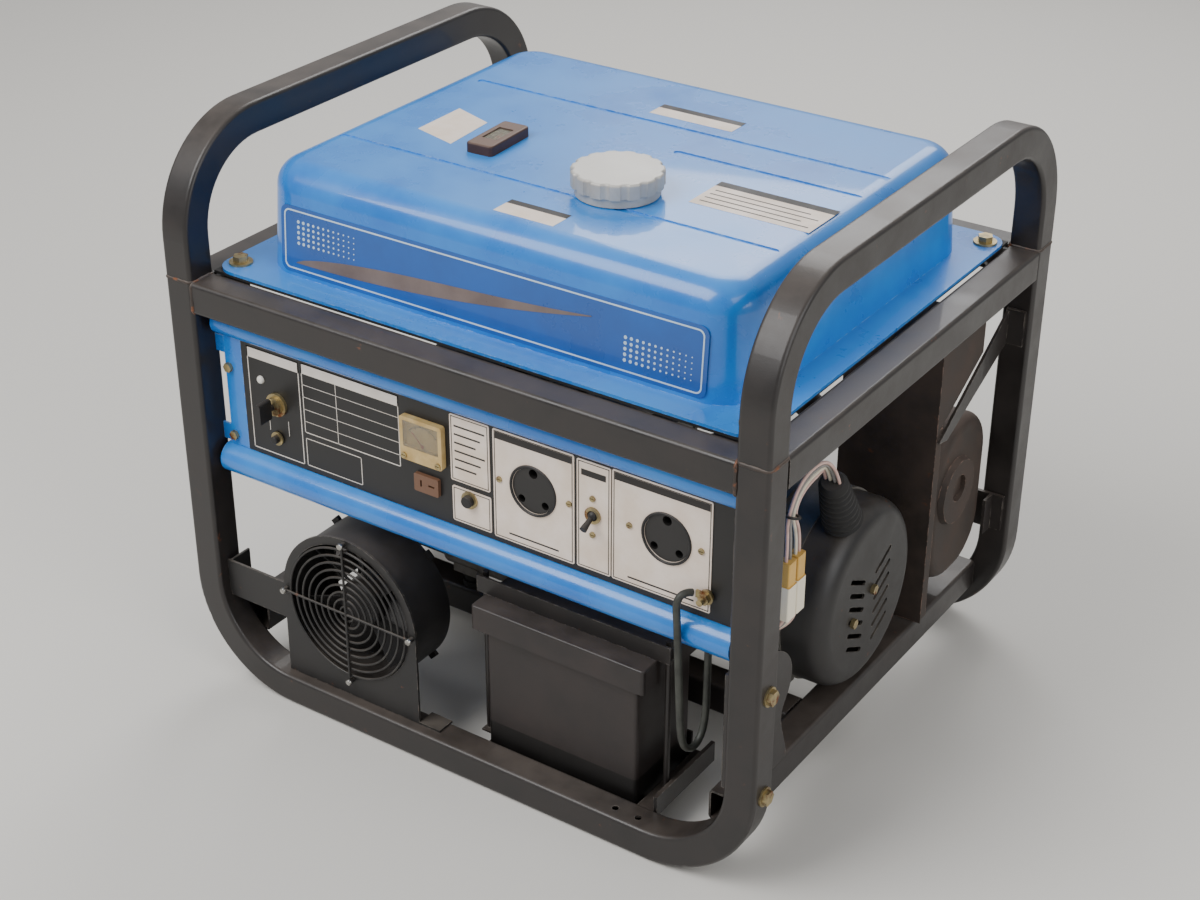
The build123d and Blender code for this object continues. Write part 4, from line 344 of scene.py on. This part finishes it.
def add_lathe(bm, origin, axis, profile, around=40):
    """A turned shell about an axis; profile is (distance along, radius) pairs."""
    axis = Vector(axis).normalized()
    side = axis.orthogonal().normalized()
    other = axis.cross(side)
    rings = []
    for along, radius in profile:
        middle = Vector(origin) + axis * along
        rings.append([bm.verts.new(middle + (side * cos(tau * i / around)
                                             + other * sin(tau * i / around)) * radius)
                      for i in range(around)])
    for low, high in zip(rings, rings[1:]):
        for i in range(around):
            k = (i + 1) % around
            bm.faces.new((low[i], low[k], high[k], high[i]))
    bm.faces.new(rings[0][::-1])
    bm.faces.new(rings[-1])


# ---- Settings ------------------------------------------------------------------------
class GeneratorSettings(bpy.types.PropertyGroup):
    """Sizes and tones that a user would change."""
    cable_radius: bpy.props.FloatProperty(name="Earth cable radius", description="Radius of the earth cable",
                                          default=3.4, min=1.0, max=6.0)
    wire_radius: bpy.props.FloatProperty(name="Wire radius", description="Radius of each harness wire",
                                         default=1.6, min=0.5, max=3.0)
    boot_ribs: bpy.props.IntProperty(name="Boot ribs", description="Ribs on the rubber lead boot",
                                     default=8, min=3, max=14)
    key_light: bpy.props.FloatProperty(name="Key light", description="Power of the main soft light",
                                       default=75.0, min=0.0, unit="POWER")
    floor_tone: bpy.props.FloatVectorProperty(name="Floor tone", description="Colour of the plain floor",
                                              subtype="COLOR", default=linear("D9D6D0")[:3], min=0, max=1)


class GEN_OT_stage(bpy.types.Operator):
    """Camera, soft lights and a plain floor"""
    bl_idname = "generator.stage"
    bl_label = "Stage"

    def execute(self, context):
        settings = context.scene.generator
        azimuth, elevation, roll = radians(34.07), radians(29.49), radians(0.18)
        back = Vector((sin(azimuth) * cos(elevation), -cos(azimuth) * cos(elevation), sin(elevation)))
        right = (-back).cross(Vector((0, 0, 1))).normalized()
        up = right.cross(-back)
        across = right * cos(roll) + up * sin(roll)
        upright = up * cos(roll) - right * sin(roll)
        lens = bpy.data.cameras.new("camera")
        lens.lens = 62.86
        lens.sensor_width = 36.0
        lens.clip_start = 0.05
        camera = bpy.data.objects.new("camera", lens)
        camera.matrix_world = Matrix((across, upright, back)).transposed().to_4x4()
        camera.location = (1.0159, -1.5307, 1.2738)
        context.scene.collection.objects.link(camera)
        context.scene.camera = camera
        for name, spot, size, power in (("key", (-0.9, -1.9, 2.5), 1.8, settings.key_light),
                                        ("fill", (2.3, -0.6, 1.5), 1.8, 28.0),
                                        ("rear", (-0.6, 1.9, 2.2), 1.6, 40.0)):
            light = bpy.data.lights.new(name, "AREA")
            light.size = size
            light.energy = power
            lamp = bpy.data.objects.new(name, light)
            lamp.location = spot
            lamp.rotation_euler = (Vector((0, 0, 0.3)) - Vector(spot)).to_track_quat("-Z", "Y").to_euler()
            context.scene.collection.objects.link(lamp)
        world = bpy.data.worlds.new("studio")
        world.use_nodes = True
        world.node_tree.nodes["Background"].inputs["Color"].default_value = linear("E6E7E9")
        world.node_tree.nodes["Background"].inputs["Strength"].default_value = 0.55
        context.scene.world = world
        bm = bmesh.new()
        bmesh.ops.create_grid(bm, x_segments=1, y_segments=1, size=8.0)
        mesh = bpy.data.meshes.new("floor")
        bm.to_mesh(mesh)
        bm.free()
        floor = bpy.data.objects.new("floor", mesh)
        floor.location.z = -0.0005
        # matt painted floor: plain and pale
        paint = bpy.data.materials.new("floor paint")
        paint.use_nodes = True
        shader = paint.node_tree.nodes["Principled BSDF"]
        shader.inputs["Base Color"].default_value = (*settings.floor_tone, 1.0)
        shader.inputs["Roughness"].default_value = 0.85
        mesh.materials.append(paint)
        context.scene.collection.objects.link(floor)
        return {"FINISHED"}


class GEN_OT_cad_finishes(bpy.types.Operator):
    """Gives every kept CAD node its finish"""
    bl_idname = "generator.cad_finishes"
    bl_label = "CAD finishes"

    def execute(self, context):
        for look, names in NODE_FINISHES.items():
            for name in names.split():
                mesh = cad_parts[name].data
                mesh.materials.clear()
                mesh.materials.append(finish(look))
        return {"FINISHED"}


class GEN_OT_wiring(bpy.types.Operator):
    """Harness wires, rubber boot, earth cable and fuel hose"""
    bl_idname = "generator.wiring"
    bl_label = "Wiring and hose"

    def execute(self, context):
        settings = context.scene.generator
        low, high = Vector((281, -48, 275)), Vector((288, -86, 336))
        lean = (high - low).normalized()
        long = (high - low).length
        ribs = settings.boot_ribs
        profile = [(0, 19.0), (2.5, 20.0)]
        for i in range(ribs):
            along = 5.0 + (long - 9.0) * i / ribs
            width = 19.0 - 6.0 * i / ribs
            pitch = (long - 9.0) / ribs
            profile += [(along, width - 1.6), (along + pitch * 0.3, width), (along + pitch * 0.7, width)]
        profile += [(long - 3.0, 11.5), (long - 0.4, 10.5)]
        bm = bmesh.new()
        add_lathe(bm, low, lean, profile)
        place_mesh("ribbed_boot", bm, "moulded rubber", "frame", ("lead_boot",))
        plug_spots, pitch, wire_x = (-184.0, -168.0), 3.8, 300.0
        across = Vector((1, 0, 0)) - lean * lean.x
        across.normalize()
        looks = ("pink wire", "cream wire", "grey wire", "pink wire")
        for wire in range(4):
            side = wire - 1.5
            start = high + across * side * 4.6 + lean * 0.2
            plug_y = plug_spots[1 - wire // 2] + (3.0 if wire % 2 == 0 else -3.0)
            upper = [start, start + lean * (24.0 + side * pitch), (wire_x, -132.0, 377.0 + side * pitch),
                     (wire_x, -166.0 - side * 2.0, 374.0 + side * pitch),
                     (wire_x, -184.0 - side * pitch, 352.0), (wire_x, plug_y, 328.0), (wire_x, plug_y, 308.0)]
            lower = [(wire_x, plug_y, 250.0), (wire_x, plug_y, 234.0 + side * pitch),
                     (264.0 + side * pitch, -206.0, 228.0 + side * pitch),
                     (264.0 + side * pitch, -206.0, 268.0)]
            tube("harness_wire_%d" % (wire + 1), [upper, lower], settings.wire_radius, looks[wire],
                 "frame", ("harness_wires",))
        earth = [(248.4, -255.2, 294.8), (239.4, -268.0, 299.0), (242.0, -268.0, 262.0), (246.0, -268.5, 190.0),
                 (245.0, -262.0, 134.0), (246.0, -240.0, 118.0), (246.0, -222.0, 134.0), (244.0, -218.0, 190.0),
                 (244.0, -218.0, 268.0)]
        tube("earth_lead", [earth], settings.cable_radius, "cable sheath", "frame", ("earth_cable",))
        hose = [(-200.0, -40.0, 387.0), (-200.0, -40.0, 353.0), (-151.5, 20.0, 338.0), (-121.5, 62.0, 308.1),
                (-121.5, 84.0, 290.1), (-121.5, 111.5, 290.1)]
        tube("rubber_hose", [hose], 4.5, "moulded rubber", "frame", ("fuel_hose",))
        return {"FINISHED"}


class GEN_OT_starter_rope(bpy.types.Operator):
    """Rope between the starter's pulley and its grip"""
    bl_idname = "generator.starter_rope"
    bl_label = "Starter rope"

    def execute(self, context):
        bm = bmesh.new()
        add_lathe(bm, (-262.0, -60.0, 210.0), (0, -1, 0), [(i * 1.5, 2.3 + 0.2 * (i % 2)) for i in range(38)], 12)
        rope = place_mesh("starter_rope", bm, "braided rope", None)
        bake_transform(rope)
        return {"FINISHED"}


class GEN_OT_welds(bpy.types.Operator):
    """Weld beads where the frame tubes meet"""
    bl_idname = "generator.welds"
    bl_label = "Welds"

    def execute(self, context):
        draw = Random(7)
        routes = []
        for sx in (-1, 1):
            for sy in (-1, 1):
                cx, cy, half = 312.0 * sx, 258.0 * sy, 15.4
                ring = rounded(cx - half, cx + half, cy - half, cy + half, 4.0, 3)
                routes.append([(x, y, 446.0) for x, y in dense(ring, 3.0)])
                ring = rounded(258.0 * sy - half, 258.0 * sy + half, 430.0 - half, 430.0 + half, 4.0, 3)
                routes.append([(296.0 * sx, y, z) for y, z in dense(ring, 3.0)])
        tube("weld_beads", routes, 2.0, "weld bead", "frame",
             radii=lambda i: draw.uniform(0.65, 1.15), cyclic=True)
        return {"FINISHED"}


def dense(ring, step):
    """The closed outline with points no further apart than step."""
    points = []
    for a, b in zip(ring, ring[1:] + ring[:1]):
        a, b = Vector(a), Vector(b)
        count = max(1, int((b - a).length / step))
        points += [tuple(a.lerp(b, i / count)) for i in range(count)]
    return points


class GEN_OT_panel_print(bpy.types.Operator):
    """Printed outlines, headers and rules of the control panel, with no lettering"""
    bl_idname = "generator.panel_print"
    bl_label = "Panel print"

    def execute(self, context):
        def on_sheet(x, z):
            return (x, -249.95, z)

        def on_plate(x, z):
            return (x, -250.75, z)

        lift = Vector((0, -0.25, 0))
        bm = bmesh.new()
        add_frame(bm, on_sheet, -254.5, -190.3, 274.7, 384.2, 1.0, lift)
        add_bar(bm, on_sheet, -254.5, -190.3, 373.0, 384.2, lift)
        add_frame(bm, on_sheet, -187.0, -71.0, 311.0, 385.0, 0.9, lift)
        add_bar(bm, on_sheet, -187.0, -71.0, 374.0, 385.0, lift)
        for z in (362.0, 349.0, 336.0, 323.0):
            add_bar(bm, on_sheet, -187.0, -71.0, z, z + 0.5, lift)
        add_bar(bm, on_sheet, -146.0, -145.4, 311.0, 374.0, lift)
        add_frame(bm, on_sheet, -186.7, -118.5, 275.4, 305.3, 0.8, lift)
        for x in (-232.0, -208.0):
            add_bar(bm, on_sheet, x, x + 0.6, 300.0, 316.0, lift)
        place_mesh("sheet_print", bm, "white ink", "frame")
        bm = bmesh.new()
        for x0, x1, z0, z1 in ((-12.0, 32.0, 318.0, 386.0), (-11.0, 32.7, 275.8, 312.6),
                               (36.0, 123.3, 275.0, 386.0), (126.2, 161.6, 276.0, 385.0),
                               (163.0, 263.5, 276.0, 386.0)):
            add_frame(bm, on_plate, x0 + 1.6, x1 - 1.6, z0 + 1.6, z1 - 1.6, 0.7, lift)
        for x0, x1 in ((38.6, 120.7), (165.6, 260.9)):
            add_bar(bm, on_plate, x0, x1, 376.5, 383.4, lift)
            add_bar(bm, on_plate, x0 + 14.0, x1 - 14.0, 282.5, 284.0, lift)
        for row in range(6):
            add_bar(bm, on_plate, -7.0, 27.0 - 5.0 * (row % 3), 374.0 - row * 8.5, 375.6 - row * 8.5, lift)
        add_bar(bm, on_plate, 131.0, 156.5, 370.0, 376.0, lift)
        place_mesh("plate_print", bm, "black ink", "frame")
        needle_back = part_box("voltmeter_needle")[1].y
        dial_y = needle_back / MM + 0.4
        bm = bmesh.new()
        for i in range(25):
            a = radians(140 - 100 * i / 24)
            inner = 17.0 if i % 6 == 0 else 18.6
            out, up = Vector((cos(a), 0, sin(a))), Vector((-sin(a), 0, cos(a)))
            hub = Vector((-42.0, dial_y, 342.5))
            add_prism(bm, [hub + out * inner - up * 0.25, hub + out * 20.4 - up * 0.25,
                           hub + out * 20.4 + up * 0.25, hub + out * inner + up * 0.25], Vector((0, -0.2, 0)))
        place_mesh("dial_ticks", bm, "black ink", "frame")
        return {"FINISHED"}


class GEN_OT_tank_trim(bpy.types.Operator):
    """Front decal, top labels and gauge card of the tank, with no lettering"""
    bl_idname = "generator.tank_trim"
    bl_label = "Tank trim"

    def execute(self, context):
        lean = tan(radians(4.0))       # draft of the pressed tank wall
        foot_y, foot_z = -215.0, 449.0

        def on_front(x, z, proud=0.1):
            return (x, foot_y + (z - foot_z) * lean - proud, z)

        out = Vector((0, -0.35, 0))
        bm = bmesh.new()
        add_prism(bm, [on_front(x, z) for x, z in rounded(-233.0, 231.0, 456.0, 521.0, 8.0)], out)
        place_mesh("decal_ground", bm, "decal blue", "frame")
        bm = bmesh.new()
        edge = rounded(-229.0, 227.0, 459.5, 517.5, 6.0)
        inside = rounded(-227.6, 225.6, 460.9, 516.1, 5.0)
        for i in range(len(edge)):
            k = (i + 1) % len(edge)
            add_prism(bm, [on_front(*edge[i], 0.4), on_front(*edge[k], 0.4), on_front(*inside[k], 0.4),
                           on_front(*inside[i], 0.4)], out)
        for column in range(24):
            for row in range(5):
                size = 1.7 - 0.1 * (column % 12)
                x = (150.0 if column < 12 else -212.0) + (column % 12) * 6.0
                z = (470.0 if column < 12 else 486.0) + row * 5.2
                add_prism(bm, [on_front(x + size * cos(a), z + size * sin(a), 0.4)
                               for a in (radians(45 * n) for n in range(8))], out)
        place_mesh("decal_lines", bm, "decal pale", "frame")
        bm = bmesh.new()
        count = 40
        lower = [(-215.0 + 330.0 * i / count, 466.0 + 34.0 * (i / count) ** 2) for i in range(count + 1)]
        upper = [(x, z + 0.8 + 14.0 * sin(radians(180 * (i / count) ** 0.7))) for i, (x, z) in enumerate(lower)]
        for i in range(count):
            add_prism(bm, [on_front(*lower[i], 0.5), on_front(*lower[i + 1], 0.5), on_front(*upper[i + 1], 0.5),
                           on_front(*upper[i], 0.5)], out)
        place_mesh("decal_swoosh", bm, "decal brown", "frame")
        bm = bmesh.new()
        seal_low, seal_lift = 446.1, Vector((0, 0, 2.8))
        for x0, x1, y0, y1 in ((-288.0, 288.0, -242.6, -236.0), (-288.0, 288.0, 236.0, 242.6),
                               (-294.6, -288.0, -242.6, 242.6), (288.0, 294.6, -242.6, 242.6)):
            add_prism(bm, [(x0, y0, seal_low), (x1, y0, seal_low), (x1, y1, seal_low), (x0, y1, seal_low)],
                      seal_lift)
        place_mesh("tank_seal", bm, "moulded rubber", "frame")
        top = 555.95
        labels = (
            ("label_left", "printed sheet", ((-188, -62), (-138, -76), (-143, -12), (-189, 4))),
            ("label_right", "printed sheet", ((120, -68), (241, -68), (241, -12), (120, -12))),
            ("label_rear", "printed sheet", ((-30, 100), (63, 100), (63, 127), (-30, 127))),
            ("label_front", "printed sheet", ((-11, -180), (53, -180), (53, -152), (-11, -152))),
        )
        for name, look, corners in labels:
            bm = bmesh.new()
            add_prism(bm, [(x, y, top) for x, y in corners], Vector((0, 0, 0.35)))
            place_mesh(name, bm, look, "frame")
        bm = bmesh.new()
        rise = Vector((0, 0, 0.3))
        for x0, x1, y0, y1 in ((-30, 63, 118, 127), (120, 241, -22, -12), (-11, 53, -160, -152)):
            add_prism(bm, [(x0, y0, top + 0.2), (x1, y0, top + 0.2), (x1, y1, top + 0.2), (x0, y1, top + 0.2)], rise)
        for row in range(4):
            y = -60.0 + row * 9.0
            add_prism(bm, [(126, y, top + 0.2), (235 - 12 * (row % 2), y, top + 0.2),
                           (235 - 12 * (row % 2), y + 1.6, top + 0.2), (126, y + 1.6, top + 0.2)], rise)
        place_mesh("label_rules", bm, "black ink", "frame")
        return {"FINISHED"}


class GEN_OT_small_trim(bpy.types.Operator):
    """Harness tie, socket rims and fan guard studs"""
    bl_idname = "generator.small_trim"
    bl_label = "Small trim"

    def execute(self, context):
        ring = [(300.0 + 8.0 * cos(a), -183.0 - 9.0 * sin(a) * 0.8, 352.0 + 2.5 * sin(a))
                for a in (radians(30 * n) for n in range(12))]
        tube("harness_tie", [ring], 1.3, "black plastic", "frame", cyclic=True)
        bm = bmesh.new()
        for x in (79.3, 218.5):
            add_ring(bm, (x, -250.8, 335.6), 22.6, 25.2, 1.6)
        place_mesh("socket_rims", bm, "black plastic", "frame")
        bm = bmesh.new()
        low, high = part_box("fan_guard")
        middle = (low + high) / (2 * MM)
        for dx, dz in ((-79.0, 0.0), (79.0, 0.0), (0.0, 79.0), (0.0, -79.0)):
            add_lathe(bm, (middle.x + dx, low.y / MM + 0.4, middle.z + dz), (0, -1, 0),
                      [(0.0, 3.6), (1.2, 3.5), (2.2, 2.8), (2.7, 1.4)], 20)
        place_mesh("guard_studs", bm, "bright zinc", "frame")
        return {"FINISHED"}


def add_ring(bm, centre, inner, outer, proud, around=56):
    """A flat ring with a rounded face that looks to the front."""
    wide = (outer - inner) / 2
    rings = []
    for r, y in ((outer, 0.0), (outer, -proud * 0.5), (outer - wide * 0.5, -proud), (inner + wide * 0.5, -proud),
                 (inner, -proud * 0.5), (inner, 0.0)):
        rings.append([bm.verts.new((centre[0] + r * cos(radians(360 * i / around)), centre[1] + y,
                                    centre[2] + r * sin(radians(360 * i / around)))) for i in range(around)])
    for low, high in zip(rings, rings[1:] + rings[:1]):
        for i in range(around):
            k = (i + 1) % around
            bm.faces.new((low[i], low[k], high[k], high[i]))


OPERATORS = (GEN_OT_stage, GEN_OT_cad_finishes, GEN_OT_wiring, GEN_OT_starter_rope, GEN_OT_welds,
             GEN_OT_panel_print, GEN_OT_tank_trim, GEN_OT_small_trim)


class GEN_PT_sidebar(bpy.types.Panel):
    """Lists the steps that make the generator"""
    bl_label = "Generator"
    bl_idname = "GEN_PT_sidebar"
    bl_space_type = "VIEW_3D"
    bl_region_type = "UI"
    bl_category = "Generator"

    def draw(self, context):
        settings = context.scene.generator
        for name in ("cable_radius", "wire_radius", "boot_ribs", "key_light", "floor_tone"):
            self.layout.prop(settings, name)
        for step in OPERATORS:
            self.layout.operator(step.bl_idname)


CLASSES = (GeneratorSettings, *OPERATORS, GEN_PT_sidebar)


def register():
    for cls in CLASSES:
        bpy.utils.register_class(cls)
    bpy.types.Scene.generator = bpy.props.PointerProperty(type=GeneratorSettings)


def unregister():
    del bpy.types.Scene.generator
    for cls in reversed(CLASSES):
        bpy.utils.unregister_class(cls)


def main():
    """Makes everything in order."""
    register()
    bpy.ops.generator.stage()
    bpy.ops.generator.cad_finishes()
    bpy.ops.generator.wiring()
    bpy.ops.generator.starter_rope()
    bpy.ops.generator.welds()
    bpy.ops.generator.panel_print()
    bpy.ops.generator.tank_trim()
    bpy.ops.generator.small_trim()
    bpy.context.view_layer.update()


if __name__ == "__main__":
    main()
